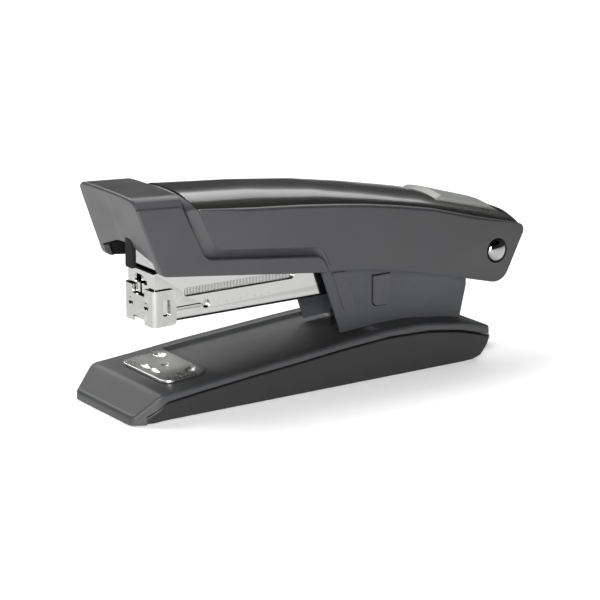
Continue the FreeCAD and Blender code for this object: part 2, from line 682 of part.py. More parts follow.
def lay_on_deck(piece):
    """Places a piece drawn flat so that its X follows the deck at the anvil's centre."""
    piece.Placement = FreeCAD.Placement(
        FreeCAD.Vector(), FreeCAD.Rotation(FreeCAD.Vector(0, -1, 0), 5)
    )
    hold(piece, "Placement.Rotation.Angle", f"atan({SLOPE})")
    hold(piece, "Placement.Base.x", at("dims.anvil_station"))
    hold(piece, "Placement.Base.z", deck("dims.anvil_station"))


def anvil_plate():
    piece = body("anvil_plate")
    low = "dims.anvil_lift"
    high = "dims.anvil_lift + dims.anvil_thickness"
    ends = ("-dims.anvil_length / 2", "dims.anvil_length / 2")
    side = [(ends[0], low), (ends[0], high), (ends[1], high), (ends[1], low)]
    plate = prism(piece, side, "dims.anvil_width / 2")
    round_corners(piece, plate, "dims.anvil_corner", FreeCAD.Vector(0, 0, 1), lambda point: True)
    grooves = sketch(piece, "XY", high)
    leg = "dims.staple_half - dims.staple_wire / 2"
    for side_sign in ("", "-"):
        inner = f"{side_sign}dims.clinch_inner"
        outer = f"{side_sign}({leg} + dims.clinch_past)"
        front = "-dims.clinch_offset - dims.clinch_width / 2"
        rear = "-dims.clinch_offset + dims.clinch_width / 2"
        outline(grooves, rectangle(front, rear, inner, outer))
    pocket(piece, grooves, "dims.clinch_depth", False)
    lay_on_deck(piece)


def anvil_small_parts():
    post = rod("anvil_post", "dims.anvil_post_radius", "dims.anvil_post_length + dims.anvil_lift",
               "0", "0", "-dims.anvil_post_length")
    clip_bottom = "dims.clip_foot - dims.anvil_post_length"
    clip = tube("anvil_clip", "dims.clip_radius", "dims.anvil_post_radius", "dims.clip_thickness",
                "0", "0", clip_bottom)
    spring_bottom = f"{clip_bottom} + dims.clip_thickness"
    spring_top = f"-({PLATE_DROP}) - dims.steel_thickness - dims.small_gap"
    spring = tube("anvil_spring", "dims.clip_radius - dims.small_gap",
                  "dims.anvil_post_radius + dims.small_gap", f"{spring_top} - ({spring_bottom})",
                  "0", "0", spring_bottom)
    for part_object in (post, clip, spring):
        label = part_object.Label
        part_object.Label = f"{label}_flat"
        holder = group(f"{label}_tilted", [part_object])
        holder.Label = label
        lay_on_deck(holder)
        parts.append(holder)


# ---------------------------------------------------------------- hinge and pillar


def rivet_spots():
    x = at(f"{CROWN_START} + dims.crown_length / 2")
    return [(x, f"{side}dims.rivet_spread / 2") for side in ("", "-")]


PLATE_TOP = f"dims.base_crown_height - ({PLATE_DROP})"


# The bracket's rear edge runs from behind the crown to the eye round the pin.
BRACKET_HEEL = (f"{CROWN_END} + dims.bracket_heel", "dims.base_crown_height + dims.bracket_heel")
BRACKET_BACK = ("dims.pin_station + dims.bracket_eye * 0.7", f"{PIN_Z} - dims.bracket_eye * 0.7")
PILLAR_INSIDE = "dims.pin_station - dims.pillar_tail_reach - dims.pillar_wall"
PILLAR_BACK = f"{between(PILLAR_INSIDE, BRACKET_HEEL, BRACKET_BACK)} - dims.pillar_back_gap"


def hinge_bracket():
    piece = body("hinge_bracket")
    foot_front = at(f"{CROWN_START} + dims.bracket_setback")
    ear_front = before_pin("dims.button_reach - dims.button_length - dims.bracket_button_gap")
    edge = [
        (foot_front, PLATE_TOP),
        (at(CROWN_END), PLATE_TOP),
        (at(BRACKET_HEEL[0]), BRACKET_HEEL[1]),
        (at(BRACKET_BACK[0]), BRACKET_BACK[1]),
        (before_pin("dims.bracket_eye * 0.6"), f"{PIN_Z} + dims.bracket_eye * 0.75"),
        (ear_front, "pin.bracket_arm_top"),
        (ear_front, "pin.button_foot - dims.bracket_step"),
        (foot_front, "pin.button_foot - dims.bracket_foot_drop"),
    ]
    prism(piece, edge, BRACKET_HALF)
    eye(piece, "dims.bracket_eye", BRACKET_HALF)
    floor = f"{PLATE_TOP} + dims.bracket_wall"
    past = before_pin(f"-{FAR}")
    room = [(at("0"), floor), (past, floor), (past, "pin.hood_top"), (at("0"), "pin.hood_top")]
    carve(piece, room, f"{BRACKET_HALF} - dims.bracket_wall")
    bore(piece, "dims.pin_radius", f"{BRACKET_HALF} + 1")
    drill(piece, rivet_spots(), "dims.rivet_radius", "0", "dims.base_crown_height")


def bracket_rivets():
    rivets = []
    bottom = f"{PLATE_TOP} - dims.steel_thickness"
    for number, (x, y) in enumerate(rivet_spots()):
        stem = rod(f"rivet_stem_{number}", "dims.rivet_radius", "dims.steel_thickness + dims.bracket_wall",
                   x, y, bottom)
        low = rod(f"rivet_foot_{number}", "dims.rivet_head_radius", "dims.rivet_head_height",
                  x, y, f"{bottom} - dims.rivet_head_height")
        high = rod(f"rivet_head_{number}", "dims.rivet_head_radius", "dims.rivet_head_height",
                   x, y, f"{PLATE_TOP} + dims.bracket_wall")
        rivets.append(fuse(f"rivet_{number}", [low, stem, high]))
    parts.append(group("bracket_rivets", rivets))


def hinge_pin():
    half = "(dims.cover_half - dims.handle_wall + dims.head_stand)"
    shaft = rod("pin_shaft", "dims.pin_radius", f"2 * {half}", PIN_X, f"-{half}", PIN_Z, ALONG_Y)
    heads = [
        rod("pin_head_left", "dims.pin_head_radius", "dims.pin_head_height", PIN_X,
            f"-{half} - dims.pin_head_height", PIN_Z, ALONG_Y),
        rod("pin_head_right", "dims.pin_head_radius", "dims.pin_head_height", PIN_X, half, PIN_Z, ALONG_Y),
    ]
    parts.append(fuse("hinge_pin", [shaft] + heads))


def pillar_edge(z):
    """X of the pillar's leaning front edge at a height."""
    foot_z = deck("dims.pin_station - dims.pillar_reach")
    lean = f"dims.pillar_lean * (({z}) - ({foot_z})) / (pin.pillar_top - ({foot_z}))"
    return before_pin(f"dims.pillar_reach + {lean}")


def pillar_shroud():
    piece = body("pillar_shroud")
    rear_station = "dims.pin_station - dims.pillar_tail_reach"
    front_station = "dims.pin_station - dims.pillar_reach"
    outer = [
        (before_pin("dims.pillar_reach"), deck(front_station)),
        (pillar_edge("pin.pillar_top"), "pin.pillar_top"),
        (before_pin("dims.pillar_tail_reach - dims.pillar_tail_lean"), "pin.pillar_top"),
        (before_pin("dims.pillar_tail_reach - dims.pillar_tail_lean"), PILLAR_BACK),
        (before_pin("dims.pillar_tail_reach"), tail_deck(rear_station)),
        (at(CROWN_END), "dims.base_crown_height"),
        (at(CROWN_START), "dims.base_crown_height"),
    ]
    prism(piece, outer, PILLAR_HALF)
    inner_rear = before_pin("dims.pillar_tail_reach + dims.pillar_wall")
    room = [
        (at("dims.nose_run"), "0"),
        (inner_rear, "0"),
        (inner_rear, PILLAR_BACK),
        (before_pin("0"), PILLAR_BACK),
        (before_pin("0"), "pin.pillar_top + 1"),
        (at("dims.nose_run"), "pin.pillar_top + 1"),
    ]
    carve(piece, room, f"{PILLAR_HALF} - dims.pillar_wall")
    gap = "dims.small_gap"
    hole = [
        (before_pin(f"dims.button_reach + {gap}"), f"pin.button_foot - {gap}"),
        (before_pin(f"dims.button_reach - dims.button_length - {gap}"), f"pin.button_foot - {gap}"),
        (before_pin(f"dims.button_reach - dims.button_length - {gap}"),
         f"pin.button_foot + dims.button_height + {gap}"),
        (before_pin(f"dims.button_reach + {gap}"), f"pin.button_foot + dims.button_height + {gap}"),
    ]
    carve(piece, hole, f"{PILLAR_HALF} + 1")


def pillar_strips():
    strips = []
    for name, start in (("left", f"-{PILLAR_HALF} - dims.strip_height"), ("right", PILLAR_HALF)):
        drawing = document.addObject("Sketcher::SketchObject", f"strip_{name}_outline")
        drawing.Placement = FreeCAD.Placement(
            FreeCAD.Vector(), FreeCAD.Rotation(FreeCAD.Vector(1, 0, 0), 90)
        )
        hold(drawing, "Placement.Base.y", start)
        top = "pin.pillar_top - dims.strip_head"
        point = "pin.strip_foot + dims.strip_point"
        near, far = "dims.strip_inset", "dims.strip_inset + dims.strip_width"
        corners = [
            (f"{pillar_edge(top)} + {near}", top),
            (f"{pillar_edge(top)} + {far}", top),
            (f"{pillar_edge(point)} + {far}", point),
            (f"{pillar_edge('pin.strip_foot')} + {near} + dims.strip_width / 2", "pin.strip_foot"),
            (f"{pillar_edge(point)} + {near}", point),
        ]
        outline(drawing, corners)
        strip = document.addObject("Part::Extrusion", f"strip_{name}")
        strip.Base = drawing
        strip.DirMode = "Custom"
        strip.Dir = FreeCAD.Vector(0, 1, 0)
        hold(strip, "LengthFwd", "dims.strip_height")
        strip.Solid = True
        strips.append(strip)
    parts.append(group("pillar_strips", strips))


def side_button(label, side):
    piece = body(label)
    front = before_pin("dims.button_reach")
    rear = before_pin("dims.button_reach - dims.button_length")
    top = "pin.button_foot + dims.button_height"
    outside = f"({PILLAR_HALF} + dims.button_stand)"
    drawing = sketch(piece, "XZ", f"{side}({outside} - {BUTTON_DEPTH})")
    outline(drawing, [(front, "pin.button_foot"), (rear, "pin.button_foot"), (rear, top), (front, top)])
    feature = pad(piece, drawing, BUTTON_DEPTH, False)
    feature.Reversed = side == "-"
    middle = size("pin.button_foot + dims.button_height / 2")
    round_corners(piece, feature, "dims.button_corner", FreeCAD.Vector(0, 1, 0),
                  lambda point: point.z < middle)


def return_lever():
    piece = body("return_lever")
    web_top = "pin.channel_bottom - dims.small_gap"
    front = before_pin("dims.lever_reach")
    web_rear = before_pin("dims.lever_reach - dims.lever_web")
    arms = [
        (front, f"{web_top} - dims.lever_wall"),
        (front, f"{web_top} + dims.lever_arm"),
        (before_pin("0"), f"{PIN_Z} + dims.lever_eye"),
        (before_pin("0"), f"{PIN_Z} - dims.lever_eye"),
        (web_rear, f"{web_top} - dims.lever_wall"),
    ]
    prism(piece, arms, LEVER_HALF)
    eye(piece, "dims.lever_eye", LEVER_HALF)
    inside = f"{LEVER_HALF} - dims.lever_wall"
    above = [(at("0"), web_top), (web_rear, web_top), (web_rear, "0"), (before_pin(f"-{FAR}"), "0"),
             (before_pin(f"-{FAR}"), "pin.hood_top"), (at("0"), "pin.hood_top")]
    carve(piece, above, inside)
    bore(piece, "dims.pin_radius + dims.running_gap", f"{LEVER_HALF} + 1")


def return_spring():
    station = "(dims.pin_station - dims.lever_reach + dims.lever_web / 2)"
    uphill = f"{station} + dims.lever_spring_radius"
    bottom = f"{deck(uphill)} - ({PLATE_DROP}) + dims.rest_gap"
    top = "pin.channel_bottom - dims.small_gap - dims.lever_wall - dims.rest_gap"
    parts.append(tube("return_spring", "dims.lever_spring_radius", "dims.lever_spring_radius - dims.wire",
                      f"{top} - ({bottom})", at(station), "0", bottom))


# ---------------------------------------------------------------- magazine


def magazine_channel():
    piece = body("magazine_channel")
    front = at("dims.channel_station")
    outer = [
        (front, "pin.channel_bottom"),
        (front, "pin.channel_top"),
        (before_pin("dims.channel_shoulder_reach"), "pin.channel_top"),
        (before_pin("dims.channel_step_reach"), "pin.channel_step_height"),
        (before_pin("0"), f"{PIN_Z} + dims.channel_neck"),
        (before_pin("0"), f"{PIN_Z} - dims.channel_eye"),
        (before_pin("dims.channel_eye"), "pin.channel_bottom"),
    ]
    prism(piece, outer, CHANNEL_HALF)
    eye(piece, "dims.channel_eye", CHANNEL_HALF)
    inside = f"{CHANNEL_HALF} - dims.channel_wall"
    back = before_pin("-dims.overall_length")
    floor = "pin.channel_bottom + dims.channel_wall"
    room_front = at("dims.channel_station + dims.channel_front_wall")
    room = [(room_front, floor), (room_front, "pin.hood_top"), (back, "pin.hood_top"), (back, floor)]
    carve(piece, room, inside)
    exit_slot = rectangle(room_front, f"{room_front} + dims.driver_slot", f"-({inside})", inside)
    drop(piece, exit_slot, "pin.channel_bottom - 1", floor)
    window_top = "pin.window_foot + dims.window_height"
    window = [
        (at("dims.window_station + dims.window_height / 2"), "pin.window_foot"),
        (at("dims.window_station + dims.window_length - dims.window_height / 2"), "pin.window_foot"),
        (at("dims.window_station + dims.window_length - dims.window_height / 2"), window_top),
        (at("dims.window_station + dims.window_height / 2"), window_top),
    ]
    carve(piece, window, f"{CHANNEL_HALF} + 1")
    middle = "pin.window_foot + dims.window_height / 2"
    for station in ("dims.window_height / 2", "dims.window_length - dims.window_height / 2"):
        bore(piece, "dims.window_height / 2", f"{CHANNEL_HALF} + 1",
             at(f"dims.window_station + {station}"), middle)
    bore(piece, "dims.lance_radius", f"{CHANNEL_HALF} + 1", at("dims.lance_station"), "pin.lance_height")
    flange = (f"{front} - 1", f"{room_front} + dims.rest_gap")
    port = rectangle(*flange, "-dims.port_half", "dims.port_half")
    drop(piece, port, "pin.port_foot", "pin.port_foot + dims.port_height")
    slit = rectangle(*flange, "-dims.slit_half", "dims.slit_half")
    drop(piece, slit, "pin.channel_bottom - 1", "pin.port_foot")
    cap_rivet_holes(piece)
    bore(piece, "dims.pin_radius + dims.running_gap", f"{CHANNEL_HALF} + 1")


def cap_rivet_holes(piece):
    holes = sketch(piece, "YZ", at("dims.cap_station - 1"))
    for side in ("", "-"):
        ring(holes, f"{side}dims.cap_rivet_spread / 2", "pin.cap_rivet_height", "dims.cap_rivet_radius")
    pocket(piece, holes, "dims.cap_wall + dims.channel_front_wall + 2", False, True)


def front_cap():
    piece = body("front_cap")
    front = at("dims.cap_station")
    rear = at("dims.cap_station + dims.cap_length")
    prism(piece, [(front, "pin.cap_bottom"), (front, "pin.cap_top"), (rear, "pin.cap_top"),
                  (rear, "pin.cap_bottom")], CAP_HALF)
    inner = at("dims.cap_station + dims.cap_wall")
    room = [(inner, "0"), (inner, "pin.hood_top"), (f"{rear} + 1", "pin.hood_top"), (f"{rear} + 1", "0")]
    carve(piece, room, f"{CAP_HALF} - dims.cap_wall")
    window_front = at("dims.cap_station + dims.cap_window_inset")
    window_rear = f"{window_front} + dims.cap_window_length"
    window_top = "pin.cap_window_foot + dims.cap_window_height"
    carve(piece, [(window_front, "pin.cap_window_foot"), (window_rear, "pin.cap_window_foot"),
                  (window_rear, window_top), (window_front, window_top)], f"{CAP_HALF} + 1")
    notch = rectangle(f"{front} - 1", f"{inner} + 1", "-dims.cap_notch_half", "dims.cap_notch_half")
    drop(piece, notch, "pin.cap_top - dims.cap_top_notch", "pin.cap_top + 1")
    drop(piece, notch, "pin.cap_bottom - 1", "pin.cap_bottom + dims.cap_bottom_notch")
    cap_rivet_holes(piece)


def cap_rivets():
    length = "dims.channel_station + dims.channel_front_wall - dims.cap_station + dims.cap_rivet_stand"
    rivets = [
        rod(f"cap_rivet_{name}", "dims.cap_rivet_radius", length,
            at("dims.cap_station - dims.cap_rivet_stand"), f"{side}dims.cap_rivet_spread / 2",
            "pin.cap_rivet_height", ALONG_X)
        for name, side in (("left", "-"), ("right", ""))
    ]
    parts.append(group("cap_rivets", rivets))


RAIL_TOP = "pin.staple_crown - dims.staple_wire - dims.rail_play"
RAIL_FOOT = "pin.channel_bottom + dims.channel_wall"


def staple_rail():
    piece = body("staple_rail")
    front = at("dims.staple_station + dims.rail_play")
    rear = before_pin("dims.rail_tail_reach")
    prism(piece, [(front, RAIL_FOOT), (front, RAIL_TOP), (rear, RAIL_TOP), (rear, RAIL_FOOT)], RAIL_HALF)
    under = f"{RAIL_TOP} - dims.rail_wall"
    below = [(f"{front} - 1", "0"), (f"{front} - 1", under), (f"{rear} + 1", under), (f"{rear} + 1", "0")]
    carve(piece, below, f"{RAIL_HALF} - dims.rail_wall")


def staple_strip():
    piece = body("staple_strip")
    front = at("dims.staple_station")
    rear = at("dims.staple_station + dims.strip_length")
    legs = "pin.staple_crown - dims.staple_leg"
    prism(piece, [(front, legs), (front, "pin.staple_crown"), (rear, "pin.staple_crown"), (rear, legs)],
          "dims.staple_half")
    under = "pin.staple_crown - dims.staple_wire"
    below = [(f"{front} - 1", "0"), (f"{front} - 1", under), (f"{rear} + 1", under), (f"{rear} + 1", "0")]
    carve(piece, below, "dims.staple_half - dims.staple_wire")


PUSHER_FRONT = "dims.staple_station + dims.strip_length + dims.pusher_play"
PUSHER_TAIL = f"{PUSHER_FRONT} + dims.pusher_length"


def pusher():
    piece = body("pusher")
    front = at(PUSHER_FRONT)
    rear = at(PUSHER_TAIL)
    tab = at(f"{PUSHER_TAIL} - dims.pusher_tab")
    legs = "pin.staple_crown - dims.staple_leg"
    prism(piece, [(front, legs), (front, "pin.staple_crown"), (rear, "pin.staple_crown"), (rear, legs)],
          "dims.staple_half")
    tab_top = "pin.channel_top - dims.pusher_tab_drop"
    prism(piece, [(tab, "pin.staple_crown"), (tab, tab_top), (rear, tab_top), (rear, "pin.staple_crown")],
          "dims.pusher_tab_half")
    under = "pin.staple_crown - dims.staple_wire"
    below = [(f"{front} - 1", "0"), (f"{front} - 1", under), (f"{rear} + 1", under), (f"{rear} + 1", "0")]
    carve(piece, below, "dims.staple_half - dims.staple_wire")
    hole = sketch(piece, "YZ", front)
    ring(hole, "0", "pin.rod_height", "dims.rod_radius + dims.running_gap")
    pocket(piece, hole, "dims.pusher_length + 1", False, True)


def rod_parts():
    rod_front = f"{PUSHER_TAIL} - dims.pusher_tab - dims.rod_overhang"
    stop_front = "dims.pin_station - dims.rod_stop_reach"
    length = f"{stop_front} + dims.rod_stop_length - ({rod_front})"
    parts.append(rod("guide_rod", "dims.rod_radius", length, at(rod_front), "0", "pin.rod_height", ALONG_X))
    spring_start = f"{PUSHER_TAIL} + dims.rest_gap"
    parts.append(tube("pusher_spring", "dims.spring_radius", "dims.spring_radius - dims.wire",
                      f"{stop_front} - ({spring_start}) - dims.rest_gap", at(spring_start), "0",
                      "pin.rod_height", ALONG_X))
    stop = body("rod_stop")
    front = before_pin("dims.rod_stop_reach")
    rear = f"{front} + dims.rod_stop_length"
    top = "pin.rod_stop_top"
    prism(stop, [(front, RAIL_TOP), (front, top), (rear, top), (rear, RAIL_TOP)], RAIL_HALF)
    hole = sketch(stop, "YZ", f"{front} - 1")
    ring(hole, "0", "pin.rod_height", "dims.rod_radius")
    pocket(stop, hole, "dims.rod_stop_length + 2", False, True)


# ---------------------------------------------------------------- handle


def hood_front(z):
    """X of the hood's leaning front face at a height."""
    foot = ("pin.hood_front_foot", "dims.hood_lean_station")
    return at(between(z, foot, ("pin.hood_top", "dims.hood_station")))


def hood_back(z):
    """Station of the hood's slanting rear edge at a height."""
    top = ("pin.cover_front_height + dims.hood_step", "dims.hood_back_station")
    waist = ("pin.hood_waist_height", "dims.hood_waist_station")
    return between(z, top, waist)


def handle_hood():
    piece = body("handle_hood")
    skirt_rear = before_pin("dims.skirt_reach")
    outer = [
        (at("dims.hood_station"), "pin.hood_top"),
        (at("dims.hood_back_station"), "pin.hood_top - dims.hood_fall"),
        (at("dims.hood_back_station"), "pin.cover_front_height + dims.hood_step"),
        (at("dims.hood_waist_station"), "pin.hood_waist_height"),
        (f"{skirt_rear} - dims.skirt_lean", "pin.skirt_foot + dims.skirt_depth"),
        (skirt_rear, "pin.skirt_foot"),
        (at("dims.skirt_front_station"), "pin.skirt_front_height"),
        (at("dims.hood_lean_station"), "pin.hood_front_foot"),
    ]
    prism(piece, outer, "dims.hood_half")
    inner_top = "pin.hood_top - dims.hood_wall"
    room = [
        (f"{hood_front(inner_top)} + dims.hood_wall", inner_top),
        (before_pin("dims.skirt_reach - 1"), inner_top),
        (before_pin("dims.skirt_reach - 1"), "pin.channel_bottom"),
        (f"{hood_front('pin.channel_bottom')} + dims.hood_wall", "pin.channel_bottom"),
    ]
    carve(piece, room, "dims.hood_half - dims.hood_wall")
    arch = rectangle(at("0"), at("dims.skirt_front_station + 1"),
                     "-dims.hood_arch_half", "dims.hood_arch_half")
    drop(piece, arch, "pin.channel_bottom", "pin.hood_arch_top")


COVER_TOP_FRONT = (f"{hood_back('pin.cover_front_height')} + dims.small_gap", "pin.cover_front_height")
COVER_TOP_MID = (COVER_MID, "pin.cover_mid_height")
COVER_TOP_TAIL = ("dims.overall_length", "pin.cover_tail_height")


def cover_top(station):
    """Height of the handle cover's falling rear top at a station."""
    return between(station, COVER_TOP_MID, COVER_TOP_TAIL)


def handle_cover():
    piece = body("handle_cover")
    gap = "dims.small_gap"
    tail = at("dims.overall_length")
    outer = [
        (at(COVER_TOP_FRONT[0]), COVER_TOP_FRONT[1]),
        (at(COVER_MID), "pin.cover_mid_height"),
        (tail, "pin.cover_tail_height"),
        (before_pin("-dims.cover_heel_back"), "pin.cover_heel_height + dims.cover_heel_rise"),
        (before_pin("dims.cover_heel_reach"), "pin.cover_heel_height"),
        (before_pin("dims.cover_elbow_reach"), "pin.cover_elbow_height"),
        (before_pin(f"dims.skirt_reach - {gap}"), "pin.skirt_foot"),
        (before_pin(f"dims.skirt_reach + dims.skirt_lean - {gap}"),
         f"pin.skirt_foot + dims.skirt_depth + {gap}"),
        (at(f"dims.hood_waist_station + {gap}"), f"pin.hood_waist_height + {gap}"),
    ]
    prism(piece, outer, "dims.cover_half")
    wall = "dims.handle_wall"
    room = [
        (at("0"), f"pin.cover_front_height - {wall}"),
        (at("dims.hood_back_station"), f"pin.cover_front_height - {wall}"),
        (at(COVER_MID), f"pin.cover_mid_height - {wall}"),
        (at(f"dims.overall_length - {wall}"), f"{cover_top(f'dims.overall_length - {wall}')} - {wall}"),
        (at(f"dims.overall_length - {wall}"), "0"),
        (at("0"), "0"),
    ]
    carve(piece, room, f"dims.cover_half - {wall}")
    slot = rectangle(before_pin("0"), at("dims.overall_length + 1"),
                     "-dims.tail_slot_half", "dims.tail_slot_half")
    drop(piece, slot, "0", PIN_Z)
    opening = rectangle(at(f"{RELEASE_FRONT} - {gap}"), at(f"{RELEASE_FRONT} + dims.release_length + {gap}"),
                        f"-dims.release_half - {gap}", f"dims.release_half + {gap}")
    drop(piece, opening, PIN_Z, "pin.hood_top")
    bore(piece, "dims.head_hole_radius", "dims.cover_half + 1")


def top_insert():
    piece = body("top_insert")
    front = "dims.hood_back_station + dims.small_gap"
    rear = INSERT_TAIL
    corners = [
        (at(front), "pin.insert_front_height"),
        (at("dims.insert_mid_station"), "pin.insert_mid_height"),
        (at(rear), "pin.insert_tail_height"),
        (at(rear), f"{cover_top(rear)} + dims.rest_gap"),
        (at(COVER_MID), f"pin.cover_mid_height + dims.rest_gap"),
        (at(front), f"{between(front, COVER_TOP_FRONT, COVER_TOP_MID)} + dims.rest_gap"),
    ]
    prism(piece, corners, "dims.insert_half")


def release_button():
    piece = body("release_button")
    front = RELEASE_FRONT
    crest = f"{front} + dims.release_bevel"
    rear = f"{RELEASE_FRONT} + dims.release_length"
    corners = [
        (at(front), f"{cover_top(front)} + dims.release_stand - dims.release_bevel"),
        (at(crest), f"{cover_top(crest)} + dims.release_stand"),
        (at(rear), f"{cover_top(rear)} + dims.release_rear_stand"),
        (at(rear), f"{cover_top(rear)} - dims.release_depth"),
        (at(front), f"{cover_top(front)} - dims.release_depth"),
    ]
    prism(piece, corners, "dims.release_half")


FRAME_FRONT = ("dims.frame_station", "pin.frame_front_height")
FRAME_KNEE = ("dims.pin_station - dims.frame_knee_reach", "pin.frame_knee_height")
FRAME_TAIL = ("dims.pin_station - dims.frame_tail_reach", "pin.frame_tail_height")


def frame_top(station):
    """Height of the frame's top behind its knee."""
    return between(station, FRAME_KNEE, FRAME_TAIL)


def release_spring():
    station = f"({RELEASE_FRONT} + dims.release_spring_setback)"
    front = f"{station} - dims.release_spring_radius"
    rear = f"{station} + dims.release_spring_radius"
    bottom = f"{frame_top(front)} + dims.rest_gap"
    top = f"{cover_top(rear)} - dims.release_depth - dims.rest_gap"
    radius = "dims.release_spring_radius"
    parts.append(tube("release_spring", radius, f"{radius} - dims.wire", f"{top} - ({bottom})",
                      at(station), "0", bottom))


def handle_frame():
    piece = body("handle_frame")
    top = [(at(station), height) for station, height in (FRAME_FRONT, FRAME_KNEE, FRAME_TAIL)]
    bottom = [
        (before_pin("-dims.frame_eye * 0.7"), f"{PIN_Z} + dims.frame_eye * 0.5"),
        (before_pin("0"), f"{PIN_Z} - dims.frame_eye"),
        (before_pin("dims.frame_knee_reach"), "pin.frame_knee_height - dims.frame_side"),
        (at("dims.frame_station"), "pin.frame_front_height - dims.frame_side"),
    ]
    prism(piece, top + bottom, FRAME_HALF)
    eye(piece, "dims.frame_eye", FRAME_HALF)
    under = [(x, f"{z} - dims.frame_wall") for x, z in top]
    under[0] = (at("0"), f"{between('0', FRAME_FRONT, FRAME_KNEE)} - dims.frame_wall")
    high, back = f"{PIN_Z} + {FAR}", before_pin(f"-{FAR}")
    room = under + [(under[-1][0], high), (back, high), (back, "0"), (at("0"), "0")]
    carve(piece, room, f"{FRAME_HALF} - dims.frame_wall")
    bore(piece, "dims.pin_radius + dims.running_gap", f"{FRAME_HALF} + 1")


def pivot_bushes():
    inside = f"{FRAME_HALF} + dims.bush_play"
    length = f"dims.cover_half - dims.handle_wall - dims.rest_gap - ({inside})"
    bushes = [
        tube(f"bush_{name}", "dims.bush_radius", "dims.pin_radius + dims.running_gap", length,
             PIN_X, start, PIN_Z, ALONG_Y)
        for name, start in (("left", f"-({inside}) - ({length})"), ("right", inside))
    ]
    parts.append(group("pivot_bushes", bushes))


def driver_blade():
    piece = body("driver_blade")
    top = "pin.block_top - dims.blade_inset"
    foot_x = at("dims.blade_station")
    top_x = f"{foot_x} + ({top} - pin.blade_tip) * dims.blade_lean"
    prism(piece, [(foot_x, "pin.blade_tip"), (top_x, top), (f"{top_x} + dims.blade_thickness", top),
                  (f"{foot_x} + dims.blade_thickness", "pin.blade_tip")], BLADE_HALF)


def driver_block():
    piece = body("driver_block")
    front = at("dims.block_station")
    lip = f"{front} + dims.block_lip"

    def blade_face(z):
        return f"{at('dims.blade_station')} + ({z} - pin.blade_tip) * dims.blade_lean - dims.rest_gap"

    front_top = f"{hood_front('pin.block_top')} + dims.hood_wall + dims.small_gap"
    arch = "pin.hood_arch_top - dims.small_gap"
    corners = [
        (front, "pin.block_foot"),
        (front, arch),
        (f"{hood_front(arch)} + dims.hood_wall + dims.small_gap", arch),
        (front_top, "pin.block_top"),
        (blade_face("pin.block_top"), "pin.block_top"),
        (blade_face("pin.block_step"), "pin.block_step"),
        (lip, "pin.block_step - dims.block_chamfer"),
        (lip, "pin.block_foot"),
    ]
    prism(piece, corners, "dims.block_half")
    slot = rectangle(f"{front} - 1", f"{lip} + 1", "-dims.block_slot_half", "dims.block_slot_half")
    drop(piece, slot, "pin.block_foot - 1", "pin.hood_arch_top")


def handle_spring():
    piece = body("handle_spring")
    station = "dims.pin_station - dims.leaf_rear_reach"
    under_frame = f"{between(station, FRAME_FRONT, FRAME_KNEE)} - dims.frame_wall"
    rear_height = f"{under_frame} - dims.leaf_thickness - dims.rest_gap"
    rear = before_pin("dims.leaf_rear_reach")
    front = before_pin("dims.leaf_front_reach")
    prism(piece, [(front, "pin.leaf_front_height"), (rear, rear_height),
                  (rear, f"{rear_height} + dims.leaf_thickness"),
                  (front, "pin.leaf_front_height + dims.leaf_thickness")], "dims.leaf_half")


base_upper_cover()
base_lower_body()
base_steel_plate()
base_bottom_pad()
base_screws()
staple_remover()
anvil_plate()
anvil_small_parts()
hinge_bracket()
bracket_rivets()
hinge_pin()
pillar_shroud()
pillar_strips()
side_button("side_button_left", "")
side_button("side_button_right", "-")
return_lever()
return_spring()
magazine_channel()
front_cap()
cap_rivets()
staple_rail()
staple_strip()
pusher()
rod_parts()
handle_hood()
handle_cover()
top_insert()
release_button()
release_spring()
handle_frame()
pivot_bushes()
driver_blade()
driver_block()
handle_spring()

document.recompute()
for item in document.Objects:
    if "Invalid" in item.State or "Error" in item.State:
        raise RuntimeError(f"{item.Name} did not build")
os.makedirs("parts", exist_ok=True)
for part_object in parts:
    shape = part_object.Shape
    if shape.isNull() or not shape.isValid() or shape.Volume <= 0:
        raise RuntimeError(f"{part_object.Label} has no valid solid")
    shape.exportStep(f"parts/{part_object.Label}.step")
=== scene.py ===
import math

import bmesh
import bpy
import numpy as np
from mathutils import Matrix, Vector


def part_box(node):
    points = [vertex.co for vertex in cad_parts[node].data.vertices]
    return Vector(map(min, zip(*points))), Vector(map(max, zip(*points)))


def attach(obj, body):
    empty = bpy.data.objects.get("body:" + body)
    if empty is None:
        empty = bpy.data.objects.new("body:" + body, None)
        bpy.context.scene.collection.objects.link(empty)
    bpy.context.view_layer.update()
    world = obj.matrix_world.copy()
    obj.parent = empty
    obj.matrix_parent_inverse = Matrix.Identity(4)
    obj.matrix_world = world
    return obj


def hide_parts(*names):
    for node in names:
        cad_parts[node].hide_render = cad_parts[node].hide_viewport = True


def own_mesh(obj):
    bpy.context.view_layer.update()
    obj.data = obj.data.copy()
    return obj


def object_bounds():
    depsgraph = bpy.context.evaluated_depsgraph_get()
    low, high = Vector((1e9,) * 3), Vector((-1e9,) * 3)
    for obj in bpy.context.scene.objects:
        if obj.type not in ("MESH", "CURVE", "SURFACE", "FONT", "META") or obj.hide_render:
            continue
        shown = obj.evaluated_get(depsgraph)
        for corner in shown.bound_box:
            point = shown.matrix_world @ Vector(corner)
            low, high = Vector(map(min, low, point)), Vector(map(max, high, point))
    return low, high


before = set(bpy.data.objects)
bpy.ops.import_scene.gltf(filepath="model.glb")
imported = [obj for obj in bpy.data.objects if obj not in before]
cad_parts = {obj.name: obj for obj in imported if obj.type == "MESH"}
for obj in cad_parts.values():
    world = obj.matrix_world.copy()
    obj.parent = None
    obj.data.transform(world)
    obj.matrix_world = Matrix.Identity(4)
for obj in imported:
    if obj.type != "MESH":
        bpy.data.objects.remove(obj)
cad_low, cad_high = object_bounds()

